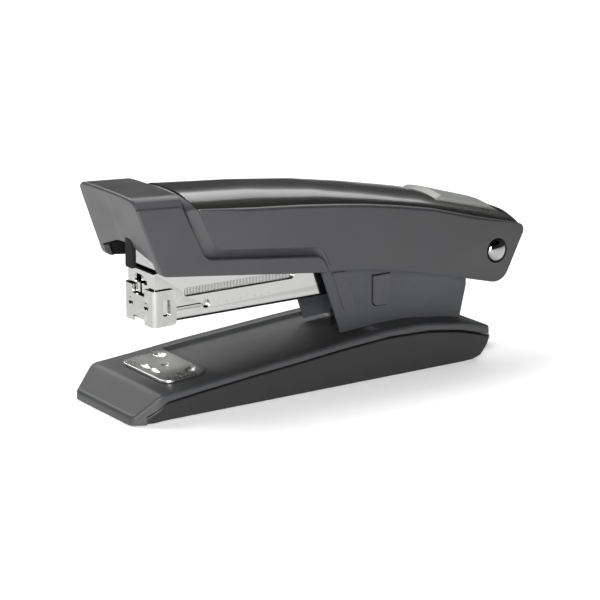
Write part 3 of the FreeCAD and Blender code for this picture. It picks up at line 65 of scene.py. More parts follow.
# Shapes are drawn in millimetres: a station is a distance behind the nose tip, a height is
# above the ground, and Y is across. NOSE turns stations into the row frame's X.
MM = 0.001
NOSE = cad_low.x / MM
PIN = (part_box("hinge_pin")[0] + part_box("hinge_pin")[1]) / 2 / MM
PIN_STATION = PIN.x - NOSE


def station_box(node):
    """Lowest and highest corner of a CAD node, with stations for X, in millimetres."""
    low, high = (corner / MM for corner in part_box(node))
    low.x -= NOSE
    high.x -= NOSE
    return low, high


# ---------------------------------------------------------------- outlines


def rounded(corners, step=10):
    """Closed outline from (u, v, radius) corners, each corner turned into an arc."""
    out = []
    count = len(corners)
    for i, (u, v, radius) in enumerate(corners):
        point = np.array((u, v), float)
        back = np.array(corners[i - 1][:2], float) - point
        ahead = np.array(corners[(i + 1) % count][:2], float) - point
        room = 0.49 * min(np.linalg.norm(back), np.linalg.norm(ahead))
        back /= np.linalg.norm(back)
        ahead /= np.linalg.norm(ahead)
        half = math.acos(np.clip(back @ ahead, -1, 1)) / 2
        turn = math.pi - 2 * half
        if radius <= 0 or turn < 0.01:
            out.append(point)
            continue
        cut = min(radius / math.tan(half), room)
        radius = cut * math.tan(half)
        centre = point + (back + ahead) / np.linalg.norm(back + ahead) * radius / math.sin(half)
        start = point + back * cut - centre
        way = 1 if back[0] * ahead[1] - back[1] * ahead[0] < 0 else -1
        parts = max(2, math.ceil(turn / math.radians(step)))
        for k in range(parts + 1):
            angle = way * turn * k / parts
            c, s = math.cos(angle), math.sin(angle)
            out.append(centre + np.array((start[0] * c - start[1] * s, start[0] * s + start[1] * c)))
    return np.array(out)


def inset(outline, distance):
    """The outline moved inwards, by one distance or by one for each point."""
    p = np.asarray(outline, float)
    before, after = p - np.roll(p, 1, 0), np.roll(p, -1, 0) - p
    area = np.sum(p[:, 0] * np.roll(p, -1, 0)[:, 1] - np.roll(p, -1, 0)[:, 0] * p[:, 1])
    way = 1 if area > 0 else -1

    def inward(edge):
        edge = edge / np.maximum(np.linalg.norm(edge, axis=1), 1e-9)[:, None]
        return way * np.stack([-edge[:, 1], edge[:, 0]], 1)

    first, second = inward(before), inward(after)
    middle = first + second
    middle /= np.maximum(np.sum(middle * first, 1), 0.4)[:, None]
    return p + middle * np.reshape(distance, (-1, 1))


def spread_evenly(points, count):
    """Evenly spaced points along a line through 2-D points."""
    lengths = np.concatenate([[0], np.cumsum(np.linalg.norm(np.diff(points, axis=0), axis=1))])
    at = np.linspace(0, lengths[-1], count)
    return np.column_stack([np.interp(at, lengths, points[:, k]) for k in (0, 1)])


def line(points, reach=0.0):
    """A function through (u, v) points, with its corners eased over a reach."""
    u, v = (np.array(c, float) for c in zip(*points))
    shifts = np.linspace(-reach, reach, 7)
    return lambda at: float(np.mean(np.interp(np.asarray(at) + shifts, u, v)))


# ---------------------------------------------------------------- meshes


def soften(piece, angle):
    """Smooth shading, with the edges sharper than an angle kept crisp."""
    data = piece.data
    work = bmesh.new()
    work.from_mesh(data)
    bmesh.ops.recalc_face_normals(work, faces=work.faces)
    for face in work.faces:
        face.smooth = True
    for edge in work.edges:
        edge.smooth = len(edge.link_faces) == 2 and edge.calc_face_angle(0) < math.radians(angle)
    work.to_mesh(data)
    work.free()
    weighted = piece.modifiers.new("normals", "WEIGHTED_NORMAL")
    weighted.keep_sharp = True
    weighted.weight = 100


def solid(name, points, faces):
    """A mesh object from row-frame points in millimetres."""
    data = bpy.data.meshes.new(name)
    data.from_pydata([tuple(p) for p in np.asarray(points, float) * MM], [], faces)
    data.validate()
    piece = bpy.data.objects.new(name, data)
    bpy.context.scene.collection.objects.link(piece)
    work = bmesh.new()
    work.from_mesh(data)
    bmesh.ops.remove_doubles(work, verts=work.verts, dist=1e-7)
    bmesh.ops.dissolve_degenerate(work, edges=work.edges, dist=1e-8)
    bmesh.ops.recalc_face_normals(work, faces=work.faces)
    work.to_mesh(data)
    work.free()
    return piece


def skin(name, rings):
    """A closed mesh through rings of (station, y, height) with flat ends."""
    size = len(rings[0])
    points = np.vstack(rings) + np.array((NOSE, 0, 0))
    faces = []
    for k in range(len(rings) - 1):
        for i in range(size):
            j = (i + 1) % size
            faces.append((k * size + i, k * size + j, (k + 1) * size + j, (k + 1) * size + i))
    faces.append(tuple(reversed(range(size))))
    faces.append(tuple((len(rings) - 1) * size + i for i in range(size)))
    return solid(name, points, faces)


def slab(name, outline, half, fillet, across=(), bend=None, steps=3):
    """A side-view outline spread across the stapler, with rounded edges round both sides.

    half(outline) gives the half width at each point, fillet is one radius or one per point,
    across lists the Y of further rings, and bend(ring) reshapes a ring."""
    outline = np.asarray(outline, float)
    fillet = np.broadcast_to(np.asarray(fillet, float), (len(outline),))
    wide = np.broadcast_to(np.asarray(half(outline), float), (len(outline),))
    sides = []
    for angle in np.linspace(0, math.pi / 2, steps + 1):
        flat = inset(outline, fillet * (1 - math.sin(angle)))
        sides.append((flat, wide - fillet * (1 - math.cos(angle))))
    rings = [np.column_stack([p[:, 0], -y, p[:, 1]]) for p, y in sides]
    room = min(wide - fillet) - 0.02
    for y in (y for y in across if abs(y) < room):
        rings.append(np.column_stack([outline[:, 0], np.full(len(outline), y), outline[:, 1]]))
    rings += [np.column_stack([p[:, 0], y, p[:, 1]]) for p, y in sides[::-1]]
    if bend:
        rings = [bend(ring) for ring in rings]
    return skin(name, rings)


def even(width):
    """Half width that is the same all round an outline."""
    return lambda outline: np.full(len(outline), float(width))


def drawn_in(width, height, slope):
    """Half width that grows downwards from a width at a height."""
    return lambda outline: width + (height - outline[:, 1]) * slope


def block(name, low, high, corner=0.0, fillet=0.0):
    """A box between two (station, y, height) corners, rounded in side view."""
    outline = rounded([(low[0], low[2], corner), (high[0], low[2], corner),
                       (high[0], high[2], corner), (low[0], high[2], corner)])
    middle = (low[1] + high[1]) / 2
    piece = slab(name, outline, even((high[1] - low[1]) / 2), fillet)
    for vertex in piece.data.vertices:
        vertex.co.y += middle * MM
    return piece


def circle(sides):
    """Angles of evenly spaced points round a circle."""
    return [2 * math.pi * k / sides for k in range(sides)]


def lathe(name, profile, centre, axis, sides):
    """A closed turned piece: (distance along the axis, radius) from end to end."""
    axis = Vector(axis).normalized()
    first = axis.orthogonal().normalized()
    second = axis.cross(first)
    centre = Vector(centre)
    rings = []
    for along, radius in profile:
        rings.append(np.array([
            centre + axis * along + (first * math.cos(t) + second * math.sin(t)) * radius
            for t in circle(sides)
        ]))
    return skin(name, rings)


def tube(name, path, radius, sides):
    """A round wire along a path of (station, y, height) points."""
    path = [Vector(p) for p in path]
    up = Vector((0.13, 0.31, 0.94))     # along no wire's first step
    rings = []
    for i, point in enumerate(path):
        ahead = (path[min(i + 1, len(path) - 1)] - path[max(i - 1, 0)]).normalized()
        up = (up - ahead * up.dot(ahead)).normalized()
        side = ahead.cross(up)
        rings.append(np.array([
            point + (up * math.cos(t) + side * math.sin(t)) * radius for t in circle(sides)
        ]))
    return skin(name, rings)


def combine(piece, other, operation="DIFFERENCE"):
    """Cuts a piece with another, or joins them, and removes the other."""
    step = piece.modifiers.new("cut", "BOOLEAN")
    step.operation = operation
    step.solver = "EXACT"
    step.object = other
    depsgraph = bpy.context.evaluated_depsgraph_get()
    made = bpy.data.meshes.new_from_object(piece.evaluated_get(depsgraph))
    piece.modifiers.remove(step)
    old = piece.data
    piece.data = made
    bpy.data.meshes.remove(old)
    bpy.data.objects.remove(other)


def together(name, pieces):
    """Several separate meshes as one object."""
    work = bmesh.new()
    for piece in pieces:
        work.from_mesh(piece.data)
        bpy.data.objects.remove(piece)
    data = bpy.data.meshes.new(name)
    work.to_mesh(data)
    work.free()
    joined = bpy.data.objects.new(name, data)
    bpy.context.scene.collection.objects.link(joined)
    return joined


def bevel(piece, width, angle=35):
    """Rounds the edges sharper than an angle, by a width in millimetres."""
    step = piece.modifiers.new("edges", "BEVEL")
    step.width = width * MM
    step.segments = 2
    step.limit_method = "ANGLE"
    step.angle_limit = math.radians(angle)


def place(piece, body, material, slot, *nodes, angle=28):
    """Gives a new piece its finish, its body, and the CAD nodes that it stands for."""
    piece.data.materials.clear()
    piece.data.materials.append(material)
    soften(piece, angle)
    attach(piece, body)
    if nodes:
        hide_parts(*nodes)


def paint_inside_shade(piece, half, within):
    """Gives the faces on the inside of a shell black plastic, as painted shade of the hollow."""
    piece.data.materials.append(black)
    for face in piece.data.polygons:
        x, y, z = face.center / MM
        if abs(y) < half and within(x - NOSE, z):
            face.material_index = 1


# ---------------------------------------------------------------- materials

BROAD_LOW, BROAD_HIGH = 0.3, 0.7        # the span of the broad noise that is put to use
EDGE_HIGHLIGHT_FROM, EDGE_HIGHLIGHT_FULL = 0.52, 0.62       # how pointed a place is where the painted edge highlight begins and is full
BUMP_DEPTH = 0.00006                    # metres


def node(tree, kind, **values):
    """A shader node, with values for its inputs or its settings."""
    made = tree.nodes.new(kind)
    for key, value in values.items():
        if key in made.inputs:
            made.inputs[key].default_value = value
        else:
            setattr(made, key, value)
    return made


def finish_material(name, colour, rough, grain, bump, metallic=0.0, spread=0.10, edge_highlight=0.25,
                    stretch=(1, 1, 1), coat=0.0, specular=0.5, rough_spread=0.08, kind="NOISE"):
    """A procedural finish: fine grain in the bump, broad variation in colour and roughness,
    and a painted highlight: edges that are sharply convex are a little lighter."""
    made = bpy.data.materials.new(name)
    made.use_nodes = True
    tree = made.node_tree
    link = tree.links.new
    shader = tree.nodes["Principled BSDF"]
    shader.inputs["Metallic"].default_value = metallic
    shader.inputs["Coat Weight"].default_value = coat
    shader.inputs["Coat Roughness"].default_value = 0.12
    shader.inputs["Specular IOR Level"].default_value = specular
    place_of = node(tree, "ShaderNodeTexCoord")
    mapping = node(tree, "ShaderNodeMapping")
    mapping.inputs["Scale"].default_value = stretch
    link(place_of.outputs["Object"], mapping.inputs["Vector"])

    broad = node(tree, "ShaderNodeTexNoise", Scale=55.0, Detail=4.0, Roughness=0.6)
    link(place_of.outputs["Object"], broad.inputs["Vector"])
    if kind == "STIPPLE":
        fine = node(tree, "ShaderNodeTexVoronoi", Scale=1000.0 / grain)
        fine_out = fine.outputs["Distance"]
    else:
        fine = node(tree, "ShaderNodeTexNoise", Scale=1000.0 / grain, Detail=3.0, Roughness=0.55)
        fine_out = fine.outputs["Fac"]
    link(mapping.outputs["Vector"], fine.inputs["Vector"])

    tint = node(tree, "ShaderNodeValToRGB")
    tint.color_ramp.elements[0].position = BROAD_LOW
    tint.color_ramp.elements[1].position = BROAD_HIGH
    tint.color_ramp.elements[0].color = (*[c * (1 - spread) for c in colour], 1)
    tint.color_ramp.elements[1].color = (*[min(1, c * (1 + spread)) for c in colour], 1)
    link(broad.outputs["Fac"], tint.inputs["Fac"])

    # painted highlight: the base colour turns lighter where the surface is sharply convex
    shape = node(tree, "ShaderNodeNewGeometry")
    edge = node(tree, "ShaderNodeMapRange")
    edge.inputs["From Min"].default_value = EDGE_HIGHLIGHT_FROM
    edge.inputs["From Max"].default_value = EDGE_HIGHLIGHT_FULL
    edge.inputs["To Max"].default_value = edge_highlight
    link(shape.outputs["Pointiness"], edge.inputs["Value"])
    highlight_mix = node(tree, "ShaderNodeMix", data_type="RGBA")
    highlight_mix.inputs["B"].default_value = (*[min(1, c * 1.9 + 0.01) for c in colour], 1)
    link(edge.outputs["Result"], highlight_mix.inputs["Factor"])
    link(tint.outputs["Color"], highlight_mix.inputs["A"])
    link(highlight_mix.outputs["Result"], shader.inputs["Base Color"])

    polish = node(tree, "ShaderNodeMapRange")
    polish.inputs["From Min"].default_value = BROAD_LOW
    polish.inputs["From Max"].default_value = BROAD_HIGH
    polish.inputs["To Min"].default_value = max(0.02, rough - rough_spread)
    polish.inputs["To Max"].default_value = min(1.0, rough + rough_spread)
    link(broad.outputs["Fac"], polish.inputs["Value"])
    link(polish.outputs["Result"], shader.inputs["Roughness"])

    rise = node(tree, "ShaderNodeBump")
    rise.inputs["Strength"].default_value = bump
    rise.inputs["Distance"].default_value = BUMP_DEPTH
    link(fine_out, rise.inputs["Height"])
    link(rise.outputs["Normal"], shader.inputs["Normal"])
    return made


charcoal = finish_material("charcoal_plastic", (0.036, 0.036, 0.038), 0.40, 0.35, 0.22)
deck_plastic = finish_material("deck_plastic", (0.034, 0.0345, 0.036), 0.50, 0.35, 0.25)
stippled = finish_material("stippled_plastic", (0.042, 0.043, 0.046), 0.58, 0.55, 0.9, kind="STIPPLE")
dark = finish_material("dark_plastic", (0.007, 0.007, 0.0075), 0.42, 0.35, 0.2)
gloss = finish_material("gloss_insert", (0.020, 0.0205, 0.019), 0.30, 0.6, 0.05, coat=0.5,
                        rough_spread=0.04)
button_top = finish_material("button_plastic", (0.23, 0.235, 0.225), 0.38, 0.35, 0.25)
black = finish_material("black_plastic", (0.004, 0.004, 0.004), 0.6, 0.35, 0.2, specular=0.2)
rubber = finish_material("rubber_pad", (0.018, 0.018, 0.018), 0.85, 0.4, 0.8, edge_highlight=0.1)
nickel = finish_material("nickel", (0.36, 0.36, 0.356), 0.10, 0.9, 0.03, metallic=1.0, spread=0.03,
                         edge_highlight=0.2, stretch=(1, 1, 4), rough_spread=0.04)
staple_metal = finish_material("staple_steel", (0.42, 0.42, 0.415), 0.25, 0.25, 0.1, metallic=1.0,
                               spread=0.06, edge_highlight=0.2)
spring_metal = finish_material("spring_steel", (0.52, 0.52, 0.53), 0.28, 0.25, 0.12, metallic=1.0,
                               spread=0.06, edge_highlight=0.2)
brushed = finish_material("anvil_nickel", (0.58, 0.58, 0.57), 0.28, 0.35, 0.25, metallic=1.0,
                          spread=0.05, edge_highlight=0.3, stretch=(1, 12, 1), rough_spread=0.05)
zinc = finish_material("zinc_steel", (0.30, 0.30, 0.305), 0.36, 0.5, 0.15, metallic=1.0, spread=0.08,
                       edge_highlight=0.2)
black_steel = finish_material("black_steel", (0.008, 0.008, 0.0085), 0.5, 0.4, 0.2, metallic=0.2,
                              edge_highlight=0.15, specular=0.25)
mark = finish_material("mark_paint", (0.30, 0.30, 0.30), 0.6, 0.3, 0.1)

# ---------------------------------------------------------------- handle

FRONT_LEAN = 0.375          # the hood's front face, along per height
HOOD_SIDE_TOP = 62.0        # the hood's crease between side and top, at the front
HOOD_LEVEL = 61.0           # where HOOD_HALF holds; the sides widen below it by HOOD_DRAFT
HOOD_HALF, HOOD_DRAFT = 15.85, 0.048
HOOD_CROWN_HALF = 11.4      # where the hood's round shoulders meet its flat crown
HOOD_SHOULDER, HOOD_CROWN = 3.0, 0.22
HOOD_WALL = 1.8
COVER_LEVEL = 57.0          # where COVER_HALF holds; the sides widen below it by COVER_DRAFT
COVER_HALF, COVER_DRAFT = 15.45, 0.026
COVER_WALL = 1.7
RECESS_HALF, RECESS_DEPTH = 14.2, 2.8   # where the top insert lies
INSERT_HALF = 13.35
BUTTON_GAP = 0.35           # play round the release button


def hood_face(height):
    """Station of the hood's front face at a height."""
    return 1.8 + (65.0 - height) * FRONT_LEAN


HOOD_OUTLINE = [
    (hood_face(HOOD_SIDE_TOP), HOOD_SIDE_TOP, 0.7),
    (17.9, 61.1, 0.8),
    (25.4, 45.0, 3.2),
    (64.3, 40.5, 3.0),
    (67.7, 35.15, 1.0),
    (hood_face(41.9), 41.9, 3.0),
]
COVE_LINE = [(69.0, 35.2), (65.2, 42.95), (29.2, 46.95), (23.3, 59.4)]
SIDE_TOP = [(40.8, 57.6), (57.9, 56.2), (71.9, 54.7), (81.3, 53.5), (93.5, 51.5), (105.6, 49.1),
            (123.2, 44.2)]
COVER_FOOT = [(119.1, 25.6), (110.9, 27.8), (98.4, 30.6), (83.2, 33.7)]
COVER_TAIL = (140.9, 39.7)


def shoulder(y):
    """Height of the hood's top above its side crease, across the stapler."""
    y = abs(y)
    if y < HOOD_CROWN_HALF:
        return HOOD_SHOULDER + HOOD_CROWN * (1 - (y / HOOD_CROWN_HALF) ** 2)
    share = min(1.0, (y - HOOD_CROWN_HALF) / (HOOD_HALF - HOOD_CROWN_HALF))
    return HOOD_SHOULDER * (1 - share ** 2.3) ** (1 / 2.3)


def crown_hood(ring):
    """Lifts the hood's top to its crown, and carries the leaning front face up with it."""
    ring = ring.copy()
    share = np.clip((ring[:, 2] - 57.0) / 2.5, 0, 1)
    lift = share * shoulder(float(np.mean(ring[:, 1])))
    near_front = ring[:, 0] < 6.0
    ring[:, 2] += lift
    ring[:, 0] -= np.where(near_front, lift * FRONT_LEAN, 0)
    return ring


def make_hood():
    """The front of the handle: a hollow hood with an arch cut in the foot of its face."""
    across = [-HOOD_HALF * math.cos(math.pi * k / 30) * 0.97 for k in range(1, 30)]
    side = drawn_in(HOOD_HALF, HOOD_LEVEL, HOOD_DRAFT)
    hood = slab("handle_hood", rounded(HOOD_OUTLINE, 8), side, 0.55, across, crown_hood, 4)
    inner_top = HOOD_SIDE_TOP - HOOD_WALL
    room = rounded([(hood_face(inner_top) + HOOD_WALL, inner_top, 1.0), (90.0, inner_top, 0),
                    (90.0, 20.0, 0), (hood_face(20.0) + HOOD_WALL, 20.0, 0)])
    inner_side = drawn_in(HOOD_HALF - HOOD_WALL, HOOD_LEVEL, HOOD_DRAFT)
    combine(hood, slab("room", room, inner_side, 0.8, across[2:-2], crown_hood))
    side = HOOD_HALF - HOOD_WALL
    arch = rounded([(-side, 30.0, 0), (side, 30.0, 0), (side, 45.6, 0.8), (0.0, 50.6, 40.0),
                    (-side, 45.6, 0.8)], 4)
    rings = [np.column_stack([np.full(len(arch), s), arch[:, 0], arch[:, 1]]) for s in (0.0, 14.0)]
    combine(hood, skin("arch", rings))
    place(hood, "handle", charcoal, "charcoal_plastic", "handle_hood")
    # painted shade: the faces inside the hood are turned black
    paint_inside_shade(hood, HOOD_HALF - 0.6, lambda s, z: s > hood_face(z) + 0.9 and z < 61.3)


def cover_outline():
    top = [(s, z, 0) for s, z in SIDE_TOP]
    foot = [(s, z, 0) for s, z in COVER_FOOT]
    front = [(69.0, 35.2, 0.8), (65.2, 42.95, 4.5), (29.2, 46.95, 4.5), (23.3, 59.35, 0.6)]
    corners = front + top + [(*COVER_TAIL, 2.2), (131.7, 22.4, 5.5)] + foot
    return rounded(corners, 8)


def recess(ring):
    """Sinks the cover's top where the insert lies."""
    ring = ring.copy()
    if abs(float(np.mean(ring[:, 1]))) > RECESS_HALF:
        return ring
    top = np.interp(ring[:, 0], *zip(*SIDE_TOP, COVER_TAIL))
    reach = 4.5
    near_top = np.clip((ring[:, 2] - top + reach) / reach, 0, 1) * (ring[:, 0] > 22.0)
    ring[:, 2] -= RECESS_DEPTH * near_top
    ring[:, 0] -= 1.2 * np.clip((ring[:, 0] - 136.0) / 4.0, 0, 1) * near_top
    return ring


def button_room(name, foot, top):
    """A block that cuts room for the release button, between two heights."""
    low, high = station_box("release_button")
    return block(name, (low.x - BUTTON_GAP, low.y - BUTTON_GAP, foot),
                 (high.x + BUTTON_GAP, high.y + BUTTON_GAP, top))


def make_cover():
    """The long shell of the handle, with a recess for the insert and a hole for the pin."""
    outline = cover_outline()
    top = np.interp(outline[:, 0], *zip(*SIDE_TOP))
    on_top = (outline[:, 1] > top - 1.5) & (outline[:, 0] > 30)
    fillet = np.where(on_top, 1.1, 0.22)
    edge, step = RECESS_HALF, 0.03
    across = [-edge - step, -edge, -8.0, 0.0, 8.0, edge, edge + step]
    side = drawn_in(COVER_HALF, COVER_LEVEL, COVER_DRAFT)
    cover = slab("handle_cover", outline, side, fillet, across, recess, 4)
    drop = COVER_WALL + RECESS_DEPTH
    roof = [(s, z - drop, 0) for s, z in SIDE_TOP]
    tail = 139.4 - COVER_WALL
    room = rounded([(10.0, 59.4 - drop, 0)] + roof
                   + [(tail, 40.6 - drop, 1.5), (128.0, 15.0, 0), (10.0, 15.0, 0)])
    inner = drawn_in(COVER_HALF - COVER_WALL, COVER_LEVEL, COVER_DRAFT)
    combine(cover, slab("room", room, inner, 0.6, [0.0]))
    cover_high = station_box("handle_cover")[1]
    combine(cover, block("slot", (PIN_STATION, -13.0, 10.0), (cover_high.x + 3, 13.0, PIN.z)))
    combine(cover, button_room("opening", 36.0, 60.0))
    hole = lathe("hole", [(-25, 3.85), (25, 3.85)], (PIN_STATION, 0, PIN.z), (0, 1, 0), 64)
    combine(cover, hole)
    place(cover, "handle", charcoal, "charcoal_plastic", "handle_cover")
    roof_at = line(SIDE_TOP)
    # painted shade: the faces inside the cover, under its roof, are turned black
    paint_inside_shade(cover, COVER_HALF - 0.8,
                lambda s, z: 30.0 < s < 136.0 and z < roof_at(s) - RECESS_DEPTH - 0.9)


def walk(points, count, radius):
    """Evenly spaced points along an open line whose inner corners are rounded."""
    closed = rounded([(*points[0], 0)] + [(*p, radius) for p in points[1:-1]] + [(*points[-1], 0),
                     (points[-1][0] + 60, -200, 0)], 6)[:-1]
    return spread_evenly(closed, count)


def top_front(y):
    """Station where the top insert begins, further back beside the hood's shoulders."""
    return 20.3 + 2.9 * (abs(y) / COVER_HALF) ** 2.2


def make_cove():
    """The hollow band between the hood and the cover: up one side, over the top and down."""
    count, rows, thick = 80, 8, 1.2
    outer = walk(COVE_LINE, count, 4.5)
    hood_line = [(66.2, 35.4), (62.6, 39.6), (27.0, 43.6), (18.9, 59.2)]
    inner = walk(hood_line, count, 3.0)
    stations = []
    for edge, under in zip(outer, inner):
        half = COVER_HALF + (COVER_LEVEL - edge[1]) * COVER_DRAFT
        stations.append(((edge[0], -half, edge[1]), (under[0], -half, under[1]), 90.0))
    top_edge, under_top = outer[-1], inner[-1]
    crest = INSERT_CREST(20.5)
    for k in range(1, 41):
        share = k / 40
        y = -COVER_HALF * math.cos(share * math.pi / 2)
        lift = (1 - abs(y / COVER_HALF) ** 2.4) ** 0.85
        level = top_edge[1] + lift * (crest - top_edge[1] + 0.1)
        below = under_top[1] + lift * (crest - under_top[1] - 0.4)
        near_side = 1 - min(1.0, share * 3.0)
        stations.append(((top_front(y), y, level), (15.5 + 3.4 * near_side, y, below), 90.0 * near_side))
    mirrored = [((a[0], -a[1], a[2]), (b[0], -b[1], b[2]), -turn) for a, b, turn in stations[-2::-1]]
    sections = []
    for edge, under, turn in stations + mirrored:
        out = np.array((0, -math.sin(math.radians(turn)), math.cos(math.radians(turn))))
        face = []
        for k in range(rows + 1):
            share = k / rows
            depth = 0.45 + 1.35 * math.sin(share * math.pi / 2)
            face.append(np.array(edge) * (1 - share) + np.array(under) * share - out * depth)
        sections.append(np.array(face + [point - out * thick for point in face[::-1]]))
    place(skin("handle_cove", sections), "handle", charcoal, "charcoal_plastic", angle=50)


INSERT_CREST = line([(19.0, 63.9), (46.6, 61.8), (68.0, 59.4), (85.8, 56.4), (106.7, 52.3), (125, 47.4),
                     (136.0, 44.4), (140.0, 42.6), (142.0, 41.4)], 1.5)
INSERT_EDGE = line([(19.0, 59.7)] + SIDE_TOP + [(139.0, 39.9)], 2.0)


def make_insert():
    """The glossy strip along the top of the handle, domed across and rounded at its tail."""
    rings = []
    front, narrows, tail = 20.6, 137.2, 141.2
    stations = [front, 20.75, 21.1] + list(np.linspace(22, 136, 58))
    stations += [narrows, 138.4, 139.4, 140.2, 140.8, tail]
    for s in stations:
        shrink = max(0.0, s - narrows) / (tail - narrows)
        edge = INSERT_EDGE(s) - 0.45 - 1.6 * (1 - math.sqrt(1 - shrink ** 2))
        crest = INSERT_CREST(s) - (0.3 if s < 20.7 else 0) - 2.6 * (1 - math.sqrt(1 - shrink ** 2))
        y = INSERT_HALF * np.sin(np.linspace(-1, 1, 33) * math.pi / 2)
        rise = (1 - np.abs(y / INSERT_HALF) ** 3.2) ** 0.75
        top = edge + (crest - edge) * rise
        low = edge - 1.4
        ring_y = np.concatenate([[-INSERT_HALF], y, [INSERT_HALF]])
        ring_z = np.concatenate([[low], top, [low]])
        shift = [top_front(v) - top_front(0) for v in ring_y]
        along = s + np.array(shift) * max(0.0, 1 - (s - front) / 12.0)
        rings.append(np.column_stack([along, ring_y, ring_z]))
    insert = skin("top_insert", rings)
    combine(insert, button_room("pocket", 30.0, 70.0))
    place(insert, "handle", gloss, "gloss_insert", "top_insert", angle=35)


def make_driver_block():
    """The block that carries the driver blade, with two black blocks in front on the near side of the blade
    only: part real block, part painted shade of the gap beside the blade.
    """
    low, high = station_box("driver_block")
    step = high.z - 6.8
    core = block("core", (high.x - 2.9, low.y, step), (high.x - 0.8, high.y, high.z), 0.4, 0.3)
    # painted shade: these two black blocks lie only on the near side, where the gap beside the blade is in
    # shade
    shade_lug = block("shade_lug", (low.x + 0.6, low.y, low.z), (low.x + 2.4, -2.1, step + 0.5), 0.5, 0.4)
    shade_shelf = block("shade_shelf", (low.x + 0.6, low.y, step - 1.5), (high.x - 1.4, -2.1, step + 0.9), 0.3, 0.3)
    place(together("driver_block", [core, shade_lug, shade_shelf]), "handle", black, "black_plastic", "driver_block")


def make_release_button():
    """The button in the insert, which stands a little proud of it and narrows to the rear."""
    low, high = station_box("release_button")
    crest = INSERT_CREST
    front, rear = low.x, high.x - 3.2
    outline = rounded([
        (front, crest(front) - 3.0, 0.2), (front + 0.4, crest(front) - 0.1, 0.8),
        (front + 2.6, crest(front) + 0.7, 1.0), (rear - 3.2, crest(rear - 3.2) + 0.95, 1.0),
        (rear, crest(rear) - 0.2, 0.8), (rear + 2.9, crest(rear + 2.9) - 0.9, 0.3),
        (rear + 2.9, crest(rear + 2.9) - 3.4, 0)])

    def narrowing(outline):
        return high.y - 0.25 - np.clip((outline[:, 0] - front) / (rear - front), 0, 1.1) * 1.6

    def domed(ring):
        ring = ring.copy()
        share = (ring[:, 1] / high.y) ** 2
        ring[:, 2] -= np.where(ring[:, 2] > np.array([crest(s) for s in ring[:, 0]]) - 2.0, 1.1 * share, 0)
        return ring

    across = list(np.linspace(-8.0, 8.0, 13))
    button = slab("release_button", outline, narrowing, 0.5, across, domed)
    place(button, "release_button", button_top, "charcoal_plastic", "release_button")


make_hood()
make_cover()
make_cove()
make_insert()
make_driver_block()
make_release_button()

# ---------------------------------------------------------------- base

# The base along its stations: the height of its deck and of the upper casing's underside, and
# the half width of its plan.
DECK = line([(0.3, 2.3), (7.9, 8.75), (21.4, 9.8), (38.3, 11.3), (55.6, 12.7), (69.7, 13.9),
             (87.7, 15.1), (99.9, 15.1), (114.6, 13.2), (117.7, 12.6), (124.4, 10.8), (126.0, 10.4)], 0.9)
UNDER = line([(4.1, 2.5), (10.1, 6.5), (21.4, 7.8), (38.3, 9.5), (55.6, 10.8), (69.7, 12.0),
              (87.7, 13.1), (102.6, 12.6), (114.7, 10.8), (125.5, 7.8)], 0.5)
PLAN = line([(-1.0, 15.9), (1.2, 16.6), (7.4, 19.8), (20.0, 19.95), (37.0, 20.15), (55.0, 19.75),
             (69.0, 19.3), (100.0, 18.8), (126.0, 18.3)], 1.2)
TRAY_FRONT, TRAY_REAR, TRAY_DEPTH = 29.5, 86.0, 1.5
TOE = 4.1                   # the upper casing comes down to the ground in front of this station
NOSE_ROUND, TAIL_ROUND = 1.2, 0.8
BASE_REAR = 125.6
SEAM = 0.65                 # shadow gap between the two casings


def tray_depth(s):
    """Depth of the deck's tray at a station, with a slope at each of its ends."""
    return TRAY_DEPTH * min(1.0, max(0.0, (s - TRAY_FRONT) / 1.5), max(0.0, TRAY_REAR - s))


def rounded_edge(half, top, rim):
    """Points (y, height) from a casing's side over a rounded edge to its top."""
    points = []
    for k in range(6):
        angle = k / 5 * math.pi / 2
        points.append((half - rim * (1 - math.cos(angle)), top - rim * (1 - math.sin(angle))))
    return points


def both_sides(s, side):
    """A closed ring at a station, from (y, height) points of the half where y is positive."""
    return np.array([(s, y, z) for y, z in side + [(-y, z) for y, z in side[::-1]]])


def upper_ring(s):
    half, top = PLAN(s), DECK(s)
    low = 0.12 if s < TOE else UNDER(s)
    if s < NOSE_ROUND:
        nose = 1 - s / NOSE_ROUND
        half -= 1.3 * nose ** 2
        top = 1.45 + (DECK(NOSE_ROUND) - 1.45) * math.sqrt(1 - nose * nose)
    if s > BASE_REAR - TAIL_ROUND:
        tail = (s - BASE_REAR + TAIL_ROUND) / TAIL_ROUND
        half -= TAIL_ROUND * (1 - math.sqrt(max(0, 1 - tail * tail)))
        top -= TAIL_ROUND * (1 - math.sqrt(max(0, 1 - tail * tail)))
    rim = min(0.9, (top - low) * 0.45)
    depth = tray_depth(s)
    inner = half - 3.9
    side = [(half - 0.25, low), (half, low + 0.25)] + rounded_edge(half, top, rim)
    side += [(inner + 1.0, top), (inner + 0.35, top - 0.12 * depth), (inner - 0.15, top - 0.9 * depth),
             (inner - 0.7, top - depth)]
    return both_sides(s, side)


def make_base_upper():
    """The upper casing, with stations close together where its shape turns."""
    stations = [0, 0.08, 0.25, 0.5, 0.8, NOSE_ROUND, 2, 3.2, TOE - 0.01, TOE + 0.01, 5, 6, 6.6, 7, 7.4, 7.8,
                8.2, 8.6, 9.2, 10.1, 12, 15, 18, 21.4, 25, 29.4, 29.9, 30.4, 31.0, 31.2]
    stations += list(np.linspace(34, 84.5, 22)) + [85.2, 85.9, 86.2] + list(np.linspace(88, 124.6, 22))
    stations += [BASE_REAR - before for before in (TAIL_ROUND, 0.5, 0.25, 0.08, 0)]
    cover = skin("base_upper_cover", [upper_ring(s) for s in stations])
    place(cover, "base", deck_plastic, "charcoal_plastic", "base_upper_cover", angle=26)


